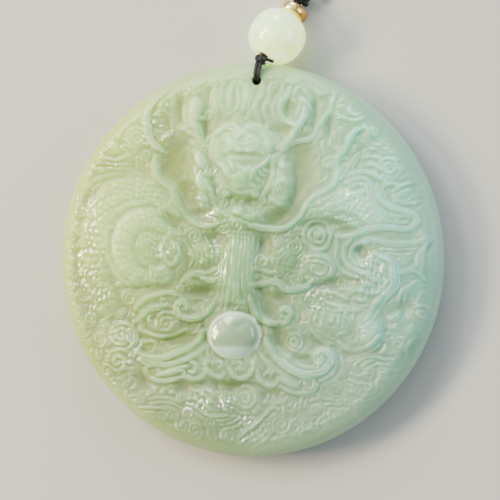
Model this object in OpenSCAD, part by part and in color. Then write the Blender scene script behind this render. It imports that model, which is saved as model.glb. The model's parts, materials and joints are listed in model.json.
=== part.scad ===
// Round carved jade pendant with a drilled jade bead, a gold spacer and a braided neck cord.
// Millimetres. The origin is the centre of the disc on its flat back, +Z points out of the
// carved face and +Y points to the hole. The pendant lies on its back with the cord laid out.

/* [Disc] */
// Diameter of the jade disc
disc_d = 56; // [40:0.5:80]
// Height of the rim's front face above the back
rim_z = 6.0; // [4:0.1:9]
// Height of the widest line of the rounded edge
edge_z = 3.8; // [2:0.1:5]
// Width of the rounding on the front
front_round = 2.2; // [1:0.1:4]
// Width of the rounding on the back
back_round = 4.0; // [1:0.1:6]
// How far the middle of the face is dished below the rim
dish = 1.3; // [0:0.1:2.5]
// Rings of points across the face
face_rings = 38; // [20:1:40]

/* [Hole] */
// Diameter of the drilled hole
hole_d = 1.9; // [1.2:0.1:4]
// Place of the hole to the right of the middle
hole_x = 1.3; // [-3:0.1:3]
// Distance of the hole's middle from the disc's top edge
hole_inset = 2.6; // [1.6:0.1:6]

/* [Bead and spacer] */
// Diameter of the jade bead
bead_d = 8.27; // [5:0.01:14]
// Place of the bead to the right of the middle
bead_x = 3.9; // [-6:0.1:8]
// Gap between the disc and the bead
bead_gap = 0.1; // [0.05:0.05:1]
// Turn of the bead's hole from straight up, to the right
bead_turn = 29; // [-60:1:60]
// Slope of the bead's hole, down towards the spacer
bead_slope = 25; // [0:1:40]
// Outside diameter of the gold spacer
spacer_d = 4.2; // [3:0.1:8]
// Thickness of the spacer
spacer_t = 1.6; // [0.8:0.1:4]
// Gap between the bead and the spacer
seat_gap = 0.03; // [0.01:0.01:0.3]

/* [Thread and knots] */
// Width of the flat thread band through the disc
band_w = 1.16; // [0.6:0.02:1.6]
// Thickness of the flat thread band
band_t = 0.5; // [0.3:0.02:1]
// Diameter of the thread inside the bead
thread_d = 1.6; // [0.8:0.1:2]
// Gap round the thread in the bead and in the spacer
bore_gap = 0.15; // [0.05:0.05:0.5]
// Gap at each knot and thread end
knot_gap = 0.15; // [0.05:0.05:0.5]
// Gap between the thread band and the jade
band_gap = 0.1; // [0.05:0.05:0.5]
// Width of the knot between the disc and the bead
lower_knot_w = 1.9; // [1:0.1:4]
// Thickness of that knot along the thread
lower_knot_t = 1.2; // [0.6:0.1:3]
// Width of the knot behind the spacer
upper_knot_w = 3.1; // [2:0.1:5]
// Thickness of that knot along the thread
upper_knot_t = 2.0; // [1:0.1:4]

/* [Neck cord] */
// Diameter of the round braid
braid_d = 2.2; // [1:0.1:4]
// Length of the closing knot
closing_l = 12; // [6:0.5:20]
// Diameter of the closing knot
closing_d = 4.6; // [3:0.1:8]
// Gap between the braid and the closing knot
closing_gap = 0.2; // [0.05:0.05:0.5]

/* [Hidden] */
disc_r = disc_d / 2;
face_r = disc_r - front_round;
hole_y = disc_r - hole_inset;
bore_d = thread_d + 2 * bore_gap;
braid_z = braid_d / 2;
closing_z = closing_d / 2;
bead_at = [bead_x, sqrt(pow(disc_r + bead_gap + bead_d / 2, 2) - bead_x * bead_x), bead_d / 2];
// Unit vector along the bead's hole, from the disc to the spacer
bead_axis = [cos(bead_slope) * sin(bead_turn), cos(bead_slope) * cos(bead_turn), -sin(bead_slope)];
// Radius of the middle of the spacer's wall
spacer_r = (spacer_d + bore_d) / 4;
// Distances from the bead's middle to the spacer and the knots on either side of it
spacer_off = sqrt(pow(bead_d / 2 + seat_gap + spacer_t / 2, 2) - spacer_r * spacer_r);
lower_knot_off = bead_d / 2 + knot_gap + lower_knot_t / 2;
upper_knot_off = spacer_off + spacer_t / 2 + knot_gap + upper_knot_t / 2;
spacer_at = bead_at + spacer_off * bead_axis;
lower_knot_at = bead_at - lower_knot_off * bead_axis;
// The upper knot lies on the surface, a gap above it.
upper_knot_z = knot_gap + norm([upper_knot_w * cos(bead_slope), upper_knot_t * sin(bead_slope)]) / 2;
upper_knot_at = [bead_at.x + upper_knot_off * bead_axis.x, bead_at.y + upper_knot_off * bead_axis.y,
    upper_knot_z];

jade = [0.62, 0.70, 0.55];
gold = [0.85, 0.62, 0.22];
black = [0.06, 0.06, 0.08];

// The relief's places and widths are in 56ths of the disc's diameter, which are 1 mm on the real one.
RELIEF_PARTS = 56;
relief_part = disc_d / RELIEF_PARTS;

// Swellings and hollows of the face: [middle, half width, half height, turn, rise in mm]
MASSES = [
    [[-0.5, 15.6], 5.4, 4.8, 0, 1.5],     // face
    [[-0.5, 11.6], 4.4, 3.6, 0, 1.3],     // jaw
    [[-0.3, 22.5], 5.4, 3.4, 0, 0.6],     // mane above the head
    [[-6.8, 11.8], 2.0, 5.4, 8, 0.9],     // left cheek hair
    [[5.2, 10.6], 2.0, 4.4, -8, 0.9],     // right cheek hair
    [[-0.8, 6.0], 6.4, 1.9, 0, 0.9],      // chin hair
    [[-1.6, -1.6], 3.6, 8.0, -4, 1.2],    // beard
    [[-17.4, 2.6], 9.0, 9.6, 0, 1.1],     // left coil of the body
    [[17.6, 7.4], 8.2, 6.6, -14, 1.0],    // right coil of the body
    [[19.4, -2.8], 5.6, 4.6, 0, 0.7],     // right claw
    [[18.6, -10.2], 2.6, 3.6, -10, 1.2],  // bud
    [[-16.6, 17.4], 5.6, 3.8, 40, 0.5],   // upper left cloud
    [[16.4, 20.6], 5.4, 3.2, -42, 0.5],   // upper right cloud
    [[-18.6, -12.4], 3.4, 4.6, 20, 0.8],  // lower left curls
    [[9.4, -14.6], 5.6, 4.6, -20, 0.7],   // right scroll
    [[-9.8, -14.8], 6.4, 3.6, 10, 0.6],   // left scroll
    [[-9.8, 14.2], 2.4, 3.8, 0, -1.0],    // hollows beside the head
    [[8.0, 13.8], 2.3, 3.8, 0, -1.0],
    [[-7.6, 6.4], 2.0, 1.0, -12, -1.1],
    [[4.2, 6.2], 2.0, 1.1, 8, -1.1],
    [[2.7, 2.2], 1.1, 1.7, 0, -1.0],
    [[-1.2, 8.5], 3.2, 0.7, 0, -1.0],
    [[0.2, 13.7], 1.8, 0.9, 0, -1.2],
    [[3.2, -6.2], 1.0, 2.6, 28, -1.1],
    [[-6.4, -4.5], 2.4, 0.8, 0, -1.0],
    [[-10.8, 5.4], 1.9, 0.9, -30, -1.0],
    [[5.0, -11.4], 1.2, 2.4, 15, -1.2],
    [[16.4, 1.1], 1.0, 1.0, 0, -1.3],
    [[13.2, -3.2], 3.6, 0.8, 4, -0.8],
    [[-9.9, -11.3], 2.4, 0.9, 14, -0.9],
    [[-5.8, 18.6], 0.9, 1.8, 0, -0.9],
    [[6.2, 21.1], 1.0, 1.5, 0, -1.0],
    [[-1.6, -18.0], 5.0, 0.8, -3, -0.7]
];

// Raised strokes of the relief: [half width, rise in mm, points]
STROKES = [
    // head
    [0.5, 0.8, [[-5.6, 17.5], [-4.2, 18.4], [-2.4, 19.3], [-1.1, 18.6], [-1.5, 17.6]]],
    [0.5, 0.8, [[-0.1, 17.9], [0.4, 19.0], [1.8, 19.0], [3.0, 17.7], [3.4, 15.3]]],
    [0.5, 0.6, [[-4.9, 17.2], [-5.0, 15.4], [-4.0, 13.6], [-2.5, 11.8]]],
    [0.5, 0.5, [[-2.6, 16.4], [-0.4, 16.7], [1.7, 16.2]]],
    [0.45, 0.8, [[-2.5, 14.2], [-1.7, 12.6]]],
    [0.45, 0.7, [[3.2, 14.5], [1.7, 13.2], [0.7, 11.8]]],
    [0.9, 0.5, [[-1.1, 12.4], [-0.8, 10.4]]],
    [0.5, 0.5, [[-4.0, 11.8], [-2.4, 10.0], [-0.6, 9.6], [1.6, 10.2], [3.0, 11.8]]],
    [0.8, 0.7, [[-3.5, 9.4], [-3.3, 9.4]]],
    [0.8, 0.6, [[1.2, 9.2], [1.4, 9.2]]],
    [0.45, 0.5, [[6.0, 15.7], [4.2, 14.5], [4.0, 12.4], [2.6, 9.0]]],
    [0.6, 0.6, [[5.2, 13.4], [5.5, 13.8]]],
    [0.6, 0.6, [[4.2, 10.6], [5.2, 11.4], [6.0, 10.0], [5.6, 8.2], [4.4, 8.0], [4.2, 10.2]]],
    [0.6, 0.7, [[-7.5, 15.2], [-6.4, 13.2]]],
    [0.6, 0.7, [[-7.2, 11.6], [-6.2, 9.8], [-6.5, 8.0]]],
    [0.45, 0.7, [[-5.7, 11.0], [-4.9, 8.8], [-3.4, 6.5]]],
    [0.8, 0.7, [[-1.5, 7.2], [-1.1, 7.0]]],
    // antlers
    [0.7, 0.9, [[-6.1, 16.4], [-7.4, 18.0], [-7.9, 20.4], [-7.8, 22.4]]],
    [0.5, 0.7, [[-7.4, 17.9], [-9.6, 18.6]]],
    [0.7, 0.9, [[4.4, 15.6], [6.2, 17.0], [7.8, 19.4], [8.8, 21.4], [8.2, 22.7]]],
    [0.5, 0.8, [[7.0, 19.4], [5.3, 20.5], [5.1, 22.0], [6.1, 23.6]]],
    [0.5, 0.7, [[5.0, 15.7], [7.4, 16.8], [9.8, 17.4], [10.4, 18.6], [12.2, 21.2], [12.8, 23.6]]],
    // mane
    [0.5, 0.5, [[-4.2, 20.2], [-4.6, 22.6], [-4.5, 24.8]]],
    [0.6, 0.5, [[-2.6, 20.8], [-2.6, 23.0], [-2.0, 24.8]]],
    [0.7, 0.5, [[-0.5, 20.8], [0.1, 22.8], [0.0, 24.4]]],
    [0.5, 0.5, [[1.8, 20.0], [1.2, 21.4], [2.2, 23.6]]],
    [0.5, 0.5, [[4.3, 20.2], [4.1, 22.2], [5.2, 24.2]]],
    // whiskers
    [0.55, 1.1, [[-10.8, 25.0], [-13.4, 22.9], [-14.8, 20.0], [-14.3, 17.2], [-12.7, 15.4], [-13.5, 13.4],
        [-12.8, 11.5], [-11.0, 10.1], [-9.8, 7.6], [-8.2, 5.8], [-6.2, 4.9], [-4.2, 5.1]]],
    [0.55, 1.1, [[0.6, 4.8], [3.4, 4.4], [6.0, 4.7], [8.0, 6.5], [9.2, 8.5], [11.4, 9.9], [13.0, 11.3],
        [13.3, 14.2], [14.7, 16.0], [15.3, 17.7], [16.3, 18.8]]],
    // beard
    [0.5, 0.5, [[-2.6, 3.2], [-3.4, -1.0], [-4.4, -4.6], [-5.8, -7.8]]],
    [0.5, 0.6, [[-1.7, 3.0], [-2.3, -1.6], [-3.2, -6.8]]],
    [0.5, 0.6, [[-0.5, 3.0], [-1.1, -1.0], [-1.2, -6.6]]],
    [0.5, 0.5, [[0.6, 3.0], [0.2, -1.4], [0.6, -5.0]]],
    [0.5, 0.8, [[-8.6, -2.6], [-7.2, -2.0], [-5.6, -2.7], [-4.4, -2.2]]],
    [0.5, 0.8, [[0.8, -3.5], [2.6, -3.4], [4.2, -3.1], [5.6, -4.1], [8.0, -4.0], [9.8, -3.2]]],
    // scrolls beside the pearl
    [0.6, 1.0, [[0.7, -5.6], [1.5, -7.8], [3.4, -9.1], [5.4, -9.1], [6.6, -8.0], [5.9, -6.9], [4.9, -7.5]]],
    [0.6, 1.0, [[-5.0, -6.4], [-6.6, -8.1], [-8.6, -8.6], [-10.2, -7.4], [-9.6, -6.2], [-8.8, -6.9]]],
    [0.7, 1.1, [[2.7, -11.4], [3.8, -13.3], [6.0, -15.3], [8.6, -16.3], [11.2, -16.0], [12.6, -14.6],
        [12.0, -13.1], [10.3, -13.2], [10.4, -14.6], [11.2, -14.2]]],
    [0.5, 0.8, [[4.8, -12.6], [6.5, -14.3], [8.8, -15.4], [10.8, -15.2]]],
    [0.6, 0.8, [[4.0, -15.8], [5.6, -17.2], [7.6, -18.3], [9.6, -18.5], [10.6, -17.4]]],
    [0.6, 0.9, [[-6.3, -10.2], [-7.8, -12.1], [-10.4, -13.3], [-13.6, -14.1], [-15.9, -13.2]]],
    [0.6, 0.9, [[-5.9, -12.2], [-8.4, -14.0], [-11.6, -15.1], [-14.6, -14.9]]],
    [0.6, 0.9, [[-8.8, -15.4], [-11.6, -16.4], [-14.0, -16.4], [-14.8, -15.4]]],
    [0.5, 0.8, [[-9.1, -15.9], [-8.0, -17.0], [-6.4, -16.8], [-6.0, -15.9]]],
    [0.5, 0.8, [[-5.8, -15.0], [-5.0, -16.5], [-3.6, -16.7], [-3.0, -15.8]]],
    [0.5, 0.8, [[-2.4, -15.2], [-1.6, -16.9], [0.2, -16.8], [1.1, -15.0]]],
    [0.5, 0.8, [[1.7, -16.2], [2.6, -17.8], [4.3, -17.8], [4.9, -16.8]]],
    [0.7, 0.6, [[-8.0, -15.4], [-7.8, -15.4]]],
    [0.7, 0.6, [[-4.4, -14.9], [-4.2, -15.0]]],
    [0.7, 0.6, [[-1.3, -15.1], [-1.1, -15.1]]],
    [0.7, 0.6, [[3.3, -16.2], [3.5, -16.2]]],
    // left coil
    [0.5, 0.6, [[-14.6, 8.0], [-17.8, 7.7], [-19.8, 5.8], [-20.6, 2.6], [-20.0, -1.0], [-17.6, -3.2]]],
    [0.5, 0.5, [[-23.6, 9.4], [-21.0, 11.5], [-18.0, 12.2], [-14.9, 12.0]]],
    [0.7, 0.7, [[-11.2, 3.6], [-12.2, 1.4], [-11.4, -0.6], [-10.2, 0.6], [-10.8, 1.8]]],
    [0.6, 0.6, [[-16.2, -8.6], [-14.6, -7.2], [-12.4, -6.6]]],
    [0.6, 0.6, [[-15.6, -6.2], [-13.8, -5.2], [-11.2, -4.6]]],
    [0.6, 0.6, [[-20.4, -10.0], [-18.6, -9.0], [-16.8, -10.4], [-17.2, -12.4], [-19.4, -12.8]]],
    // right coil and claw
    [0.55, 0.7, [[19.2, 10.2], [19.8, 8.4], [22.0, 7.1], [24.4, 6.1], [24.6, 4.7], [21.6, 4.4], [17.4, 4.4],
        [13.4, 3.2]]],
    [0.55, 0.6, [[26.2, 3.0], [24.6, 2.1], [21.0, 2.2], [18.6, 2.7], [16.0, 2.4]]],
    [0.55, 0.7, [[15.4, 1.8], [15.0, 0.4], [16.0, -1.2], [18.2, -1.6]]],
    [0.55, 0.6, [[13.4, 2.6], [13.2, 0.4], [14.4, -1.6], [17.4, -2.4]]],
    [0.55, 0.7, [[10.0, 0.4], [12.2, -0.4], [12.9, -1.8], [11.2, -3.0], [9.2, -2.6]]],
    [0.9, 0.7, [[10.3, 3.4], [10.5, 3.4]]],
    [0.55, 0.6, [[14.0, 11.6], [15.6, 12.3], [17.8, 12.1], [18.2, 10.8], [16.4, 9.8], [13.8, 8.4],
        [10.4, 6.7]]],
    [0.6, 0.7, [[18.4, 0.6], [20.8, 0.0], [21.7, -2.0], [21.6, -3.8], [19.4, -6.0], [17.4, -8.8]]],
    [0.6, 0.6, [[16.0, -4.6], [18.2, -4.8], [20.4, -4.0]]],
    [0.5, 0.5, [[11.0, -5.6], [14.0, -6.9], [17.6, -6.8]]],
    [0.6, 0.5, [[25.6, 1.2], [25.2, -0.8], [22.8, -1.8]]],
    [0.6, 0.6, [[24.4, -7.4], [25.6, -6.5], [26.4, -7.6], [25.2, -8.6]]],
    [0.6, 0.6, [[19.6, 12.6], [20.2, 14.0], [21.6, 13.6], [21.4, 12.4]]],
    [0.6, 0.6, [[22.2, 9.4], [23.6, 10.2], [24.6, 9.2], [23.0, 8.4]]],
    [0.6, 0.6, [[14.4, 21.6], [15.8, 22.5], [17.0, 21.4], [16.0, 20.6]]],
    [0.6, 0.6, [[-17.8, 17.2], [-16.4, 19.0], [-14.9, 17.8], [-16.0, 16.5]]],
    // ridge at the bottom
    [0.5, 0.6, [[-1.0, -24.9], [1.6, -23.5], [3.4, -21.6], [4.6, -21.3]]]
];

// The pearl under the beard: middle, half width, half height, rise
PEARL_AT = [-2.1, -10.8];
PEARL_W = 3.8;
PEARL_H = 3.4;
PEARL_RISE = 2.3;

// Route of the neck cord's middle line from one side of the upper knot round to the other,
// measured along the surface from that knot's middle
BRAID_ROUTE = [
    [-0.48, 1.56, braid_z], [0.4, 4.1, braid_z], [-1.7, 9.7, braid_z], [-15.9, 18.2, braid_z],
    [-42.9, 28.7, braid_z], [-66.9, 48.7, braid_z], [-75.9, 76.7, braid_z], [-70.9, 106.7, braid_z],
    [-52.9, 133.7, braid_z], [-24.9, 152.7, closing_z - 0.4], [-9.9, 158.1, closing_z],
    [-0.9, 159.7, closing_z], [6.1, 159.9, closing_z], [13.1, 159.7, closing_z], [22.1, 158.1, closing_z],
    [38.1, 152.7, closing_z - 0.4], [66.1, 133.7, braid_z], [84.1, 106.7, braid_z], [90.1, 75.7, braid_z],
    [81.1, 46.7, braid_z], [58.1, 25.7, braid_z], [27.1, 13.7, braid_z], [9.6, 6.7, braid_z],
    [3.5, 2.9, braid_z], [1.58, 0.41, braid_z]
];
// Row of the route that lies in the middle of the closing knot
CLOSING_ROW = 12;

// Height of the plain dished face at radius r.
function bowl(r) = rim_z - dish * pow(max(0, 1 - r * r / (face_r * face_r)), 0.7);

// Offset of point p from the middle of a mass, in its half widths.
function in_mass(p, m) = let(d = p - m[0], c = cos(m[3]), s = sin(m[3]))
    [(d.x * c + d.y * s) / m[1], (d.y * c - d.x * s) / m[2]];

// Sum of all the swellings and hollows at point p.
function masses(p) = sum_of([for (m = MASSES) let(q = in_mass(p, m), d = q * q)
    if (d < 1) m[4] * pow(1 - d, 1.3)]);
function sum_of(v) = len(v) == 0 ? 0 : v * [for (i = v) 1];

// Squared distance of point p from the line a to b.
function line_d2(p, a, b) = let(ab = b - a, t = max(0, min(1, (p - a) * ab / (ab * ab))),
    q = p - a - t * ab) q * q;

// The box round each stroke, so that far strokes cost nothing.
STROKE_BOXES = [for (s = STROKES) let(xs = [for (p = s[2]) p.x], ys = [for (p = s[2]) p.y])
    [min(xs) - s[0], max(xs) + s[0], min(ys) - s[0], max(ys) + s[0]]];
function near(p, box) = p.x > box[0] && p.x < box[1] && p.y > box[2] && p.y < box[3];

// Height of the tallest stroke at point p.
function strokes(p) = max([0, for (i = [0:len(STROKES) - 1]) if (near(p, STROKE_BOXES[i]))
    let(s = STROKES[i], d2 = min([for (k = [1:len(s[2]) - 1]) line_d2(p, s[2][k - 1], s[2][k])]),
        q = d2 / (s[0] * s[0]))
    if (q < 1) s[1] * sqrt(1 - q)]);

// Height of the pearl at point p.
function pearl(p) = let(dx = (p.x - PEARL_AT.x) / PEARL_W, dy = (p.y - PEARL_AT.y) / PEARL_H,
    q = dx * dx + dy * dy)
    q < 1 ? PEARL_RISE * sqrt(1 - q) : 0;

// Whole height of the carved face at point p; the carving fades out over the outermost millimetre.
function face_z(p) = let(r = norm(p), fade = min(1, max(0, (face_r + 0.6 - r) / 1.2)), q = p / relief_part)
    bowl(min(r, face_r)) + fade * (masses(q) + max(strokes(q), pearl(q)));

// First point of ring k, where ring k has 6k points.
function ring_start(k) = k == 0 ? 0 : 1 + 3 * k * (k - 1);
function ring_point(r, i, count) = [r * cos(360 * i / count), r * sin(360 * i / count)];

module jade_disc() {
    count = 6 * face_rings;
    face = [for (k = [0:face_rings]) for (i = [0:max(0, 6 * k - 1)])
        let(p = ring_point(face_r * k / face_rings, i, max(1, 6 * k))) [p.x, p.y, face_z(p)]];
    edge_turns = [30, 60, 90, 120, 150, 180];
    edge = [for (a = edge_turns) for (i = [0:count - 1])
        let(w = a <= 90 ? front_round : back_round, p = ring_point(disc_r - w + w * sin(a), i, count))
        [p.x, p.y, a <= 90 ? edge_z + (rim_z - edge_z) * cos(a) : edge_z + edge_z * cos(a)]];
    rim_start = ring_start(face_rings);
    face_faces = [for (k = [1:face_rings]) for (side = [0:5]) for (j = [0:k - 1])
        let(o = ring_start(k), n = ring_start(k - 1), oc = 6 * k, nc = max(1, 6 * (k - 1)),
            a = o + side * k + j, b = o + (side * k + j + 1) % oc,
            c = n + (side * (k - 1) + j) % nc, d = n + (side * (k - 1) + j + 1) % nc)
        for (f = j < k - 1 ? [[a, c, b], [c, d, b]] : [[a, c, b]]) f];
    edge_faces = [for (m = [0:len(edge_turns) - 1]) for (i = [0:count - 1])
        let(a = rim_start + m * count + i, b = rim_start + m * count + (i + 1) % count)
        for (f = [[a, b, b + count], [a, b + count, a + count]]) f];
    back = [[for (i = [0:count - 1]) rim_start + len(edge_turns) * count + i]];
    color(jade) difference() {
        polyhedron(concat(face, edge), concat(face_faces, edge_faces, back), convexity = 10);
        translate([hole_x, hole_y, -1]) cylinder(h = rim_z + 3, d = hole_d, $fn = 24);
    }
}

// Places its children with their Z axis along the bead's hole.
module along_bead(at) {
    translate(at) rotate([0, 90 + bead_slope, 90 - bead_turn]) children();
}

// A round knot of the given width and thickness, flattened along Z.
module knot(w, t) {
    rotate_extrude($fn = 32) intersection() {
        scale([w / t, 1]) circle(d = t, $fn = 32);
        translate([0, -t]) square([w, 2 * t]);
    }
}

function unit(v) = v / norm(v);
function tangent(pts, i) = unit(pts[min(i + 1, len(pts) - 1)] - pts[max(i - 1, 0)]);

// A tube with an oval section through the given points. side_of is the direction across it.
module tube(pts, half_side, half_up, side_of) {
    sides = 8;
    rings = [for (i = [0:len(pts) - 1])
        let(t = tangent(pts, i), s = unit(cross(t, side_of)), u = cross(s, t))
        for (a = [0:360 / sides:359]) pts[i] + half_up * cos(a) * s + half_side * sin(a) * u];
    walls = [for (i = [0:len(pts) - 2]) for (k = [0:sides - 1])
        let(a = i * sides + k, b = i * sides + (k + 1) % sides)
        for (f = [[a, b, b + sides], [a, b + sides, a + sides]]) f];
    ends = [[for (k = [sides - 1:-1:0]) k], [for (k = [0:sides - 1]) (len(pts) - 1) * sides + k]];
    polyhedron(rings, concat(walls, ends), convexity = 6);
}

// Smooth curve through hand-chosen points, `steps` pieces between each pair.
function curve_at(a, b, c, d, t) = 0.5 * (2 * b + (c - a) * t + (2 * a - 5 * b + 4 * c - d) * t * t
    + (3 * b - 3 * c + d - a) * t * t * t);
function curve(pts, steps) = let(n = len(pts) - 1) concat([for (i = [0:n - 1]) for (j = [0:steps - 1])
    curve_at(pts[max(i - 1, 0)], pts[i], pts[i + 1], pts[min(i + 2, n)], j / steps)], [pts[n]]);

// Route of the band from the knot round the edge, along the back and up the hole, back to the knot:
// [outwards, height, sideways] from the hole's middle. At the edge it keeps to the left of the bead.
band_in = hole_d / 2 - band_gap - band_t / 2;
band_out = hole_inset + band_gap + band_t / 2;
BAND_ROUTE = [
    [band_out - 0.12, rim_z - 1.2, -0.6], [band_out - 0.1, edge_z + 0.6, -0.7],
    [band_out - 0.16, edge_z - 0.3, -0.7], [band_out - 0.34, edge_z - 1.4, -0.55],
    [band_out - 0.7, 1.5, -0.35], [band_out - 1.15, 0.94, -0.2], [band_out - 1.65, 0.54, -0.1],
    [band_out - 2.08, 0.38, 0], [band_in + 0.07, 0.66, 0], [band_in, 1.6, 0], [band_in, rim_z - 0.7, 0],
    [band_in + 0.05, rim_z + 0.05, 0], [band_in + 0.3, rim_z + 0.4, 0], [band_in + 0.75, rim_z + 0.35, 0],
    [band_out - 1.17, rim_z + 0.12, 0]
];

module hang_thread() {
    out = unit([lower_knot_at.x - hole_x, lower_knot_at.y - hole_y, 0]);
    side = [out.y, -out.x, 0];
    pts = [for (p = BAND_ROUTE) [hole_x, hole_y, p[1]] + p[0] * out + p[2] * side];
    color(black) tube(curve(pts, 2), band_w / 2, band_t / 2, side);
}

module lower_knot() {
    color(black) along_bead(lower_knot_at) knot(lower_knot_w, lower_knot_t);
}

module jade_bead() {
    color(jade) along_bead(bead_at) difference() {
        sphere(d = bead_d, $fn = 48);
        translate([0, 0, -bead_d]) cylinder(h = 2 * bead_d, d = bore_d, $fn = 32);
    }
}

module gold_spacer() {
    ring_w = (spacer_d - bore_d) / 2;
    color(gold) along_bead(spacer_at) rotate_extrude($fn = 64)
        translate([spacer_r, 0]) scale([ring_w / spacer_t, 1]) circle(d = spacer_t, $fn = 32);
}

module bead_thread() {
    start = lower_knot_off - lower_knot_t / 2 - knot_gap / 2;
    finish = norm(upper_knot_at - bead_at) - upper_knot_t / 2 - knot_gap / 2;
    color(black) along_bead(bead_at) translate([0, 0, -start])
        cylinder(h = start + finish, d = thread_d, $fn = 32);
}

module upper_knot() {
    color(black) along_bead(upper_knot_at) knot(upper_knot_w, upper_knot_t);
}

// Point of the neck cord's route on the surface.
function route_at(p) = [upper_knot_at.x + p.x, upper_knot_at.y + p.y, p.z];

module neck_braid() {
    color(black) tube(curve([for (p = BRAID_ROUTE) route_at(p)], 3), braid_z, braid_z, [0, 0, 1]);
}

module closing_knot() {
    bore = braid_d + 2 * closing_gap;
    round_r = (closing_d - bore) / 2;
    color(black) translate(route_at(BRAID_ROUTE[CLOSING_ROW]))
        rotate([0, 90, 0]) rotate_extrude($fn = 48) hull() for (end = [-1, 1])
            translate([(bore + round_r) / 2, end * (closing_l - round_r) / 2])
                circle(d = round_r, $fn = 24);
}

jade_disc();
hang_thread();
lower_knot();
jade_bead();
gold_spacer();
bead_thread();
upper_knot();
neck_braid();
closing_knot();
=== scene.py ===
# %% [markdown]
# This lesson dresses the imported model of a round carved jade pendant. The CAD solids hold every piece's
# place and main shape. Blender adds what the carver, the bead driller and the braider add: the fine lines
# of the relief, polished stone that light sinks into, and satin thread. The pendant lies on its flat back
# on the floor, Z points up out of the carved face and Y points to the hole and the neck cord.

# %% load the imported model
import json
import math
import bpy
import numpy as np
from mathutils import Matrix, Vector

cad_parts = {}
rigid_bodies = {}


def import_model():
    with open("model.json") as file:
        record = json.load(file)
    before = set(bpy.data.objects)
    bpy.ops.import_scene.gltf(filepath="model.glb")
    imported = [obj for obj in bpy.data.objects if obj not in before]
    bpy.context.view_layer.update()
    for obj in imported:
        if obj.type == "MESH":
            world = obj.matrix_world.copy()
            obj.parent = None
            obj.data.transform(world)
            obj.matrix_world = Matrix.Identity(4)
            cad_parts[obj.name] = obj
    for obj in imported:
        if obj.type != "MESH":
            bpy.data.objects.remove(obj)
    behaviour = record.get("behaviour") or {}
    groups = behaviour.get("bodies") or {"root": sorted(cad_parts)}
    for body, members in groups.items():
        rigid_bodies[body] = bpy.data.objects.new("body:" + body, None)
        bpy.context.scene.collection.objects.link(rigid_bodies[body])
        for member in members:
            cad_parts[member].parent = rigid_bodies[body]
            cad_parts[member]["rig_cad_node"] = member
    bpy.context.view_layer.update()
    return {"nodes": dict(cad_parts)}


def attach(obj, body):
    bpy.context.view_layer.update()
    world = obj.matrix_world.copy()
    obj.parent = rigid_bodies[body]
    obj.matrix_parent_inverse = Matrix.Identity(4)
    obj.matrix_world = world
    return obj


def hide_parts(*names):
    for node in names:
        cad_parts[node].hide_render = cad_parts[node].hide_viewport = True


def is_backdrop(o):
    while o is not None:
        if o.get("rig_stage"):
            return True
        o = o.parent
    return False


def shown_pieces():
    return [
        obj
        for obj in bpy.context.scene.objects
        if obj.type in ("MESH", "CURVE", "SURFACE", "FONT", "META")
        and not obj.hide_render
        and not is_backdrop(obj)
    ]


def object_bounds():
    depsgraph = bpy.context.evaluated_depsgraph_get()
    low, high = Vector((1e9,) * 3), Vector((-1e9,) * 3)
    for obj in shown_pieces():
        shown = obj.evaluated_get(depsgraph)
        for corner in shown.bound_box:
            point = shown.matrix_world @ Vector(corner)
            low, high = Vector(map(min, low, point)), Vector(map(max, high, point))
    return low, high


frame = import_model()
MM = 0.001
print("CAD nodes:", sorted(frame["nodes"]))

# %% [markdown]
# The camera comes first, so that every piece can be judged in its view. Jewellery is photographed from a
# little distance with a long lens, which keeps a round disc round. This one looks down on the pendant
# from 76 degrees above the floor, a little from its right side, and is turned so that the hole is on top.

# %% the camera
VIEW_TILT = math.radians(14)
LENS, SENSOR, VIEW_WIDTH = 300.0, 36.0, 71.3
LOOK_AT = Vector((-0.18, 1.38, 3.8)) * MM

backwards = Vector((math.sin(VIEW_TILT), 0, math.cos(VIEW_TILT)))
upwards = Vector((0, 1, 0))
camera_place = LOOK_AT + backwards * VIEW_WIDTH * LENS / SENSOR * MM
bpy.ops.object.select_all(action="DESELECT")
bpy.ops.object.camera_add()
camera = bpy.context.object
camera.name = "photo_camera"
camera.data.lens, camera.data.sensor_width = LENS, SENSOR
camera.data.clip_start, camera.data.clip_end = 0.01, 10
turn = Matrix((upwards.cross(backwards), upwards, backwards)).transposed()
camera.matrix_world = Matrix.Translation(camera_place) @ turn.to_4x4()
bpy.context.scene.camera = camera
print("camera is", round(camera_place.length / MM), "mm from the pendant")

# %% [markdown]
# The disc's sizes are those of the CAD solid. A carver starts from a flat turned blank, rounds its edge,
# and dishes the face a little so that the rim stands proud and guards the carving. The face gets a mesh
# of rings, where ring k has 6k points: such a mesh has the same density all over and ends in a clean
# circle, while a square grid would leave a ragged edge. Modelling tools can't draw hundreds of carved
# lines by hand in a script, so the height of each point is worked out in millimetres with numpy.

# %% the blank's sizes and the rings of points
FACE_R, RIM_Z, EDGE_Z, DISH = 25.8, 6.0, 3.8, 1.3
FRONT_ROUND, BACK_ROUND = 2.2, 4.0
GRID_R, RINGS = 27.3, 162

ring = np.concatenate([[0], np.repeat(np.arange(1, RINGS + 1), 6 * np.arange(1, RINGS + 1))])
ring_start = np.where(ring == 0, 0, 1 + 3 * ring * (ring - 1))
turns = (np.arange(len(ring)) - ring_start) / np.maximum(1, 6 * ring)
radius = GRID_R * ring / RINGS
X, Y = radius * np.cos(2 * np.pi * turns), radius * np.sin(2 * np.pi * turns)
bowl = RIM_Z - DISH * np.maximum(0, 1 - (radius / FACE_R) ** 2) ** 0.7
over = np.clip((radius - FACE_R) / FRONT_ROUND, 0, 1)
bowl -= (RIM_Z - EDGE_Z) * (1 - np.sqrt(1 - over ** 2))
print(len(ring), "points on the face,", round(GRID_R / RINGS, 3), "mm apart")

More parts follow.
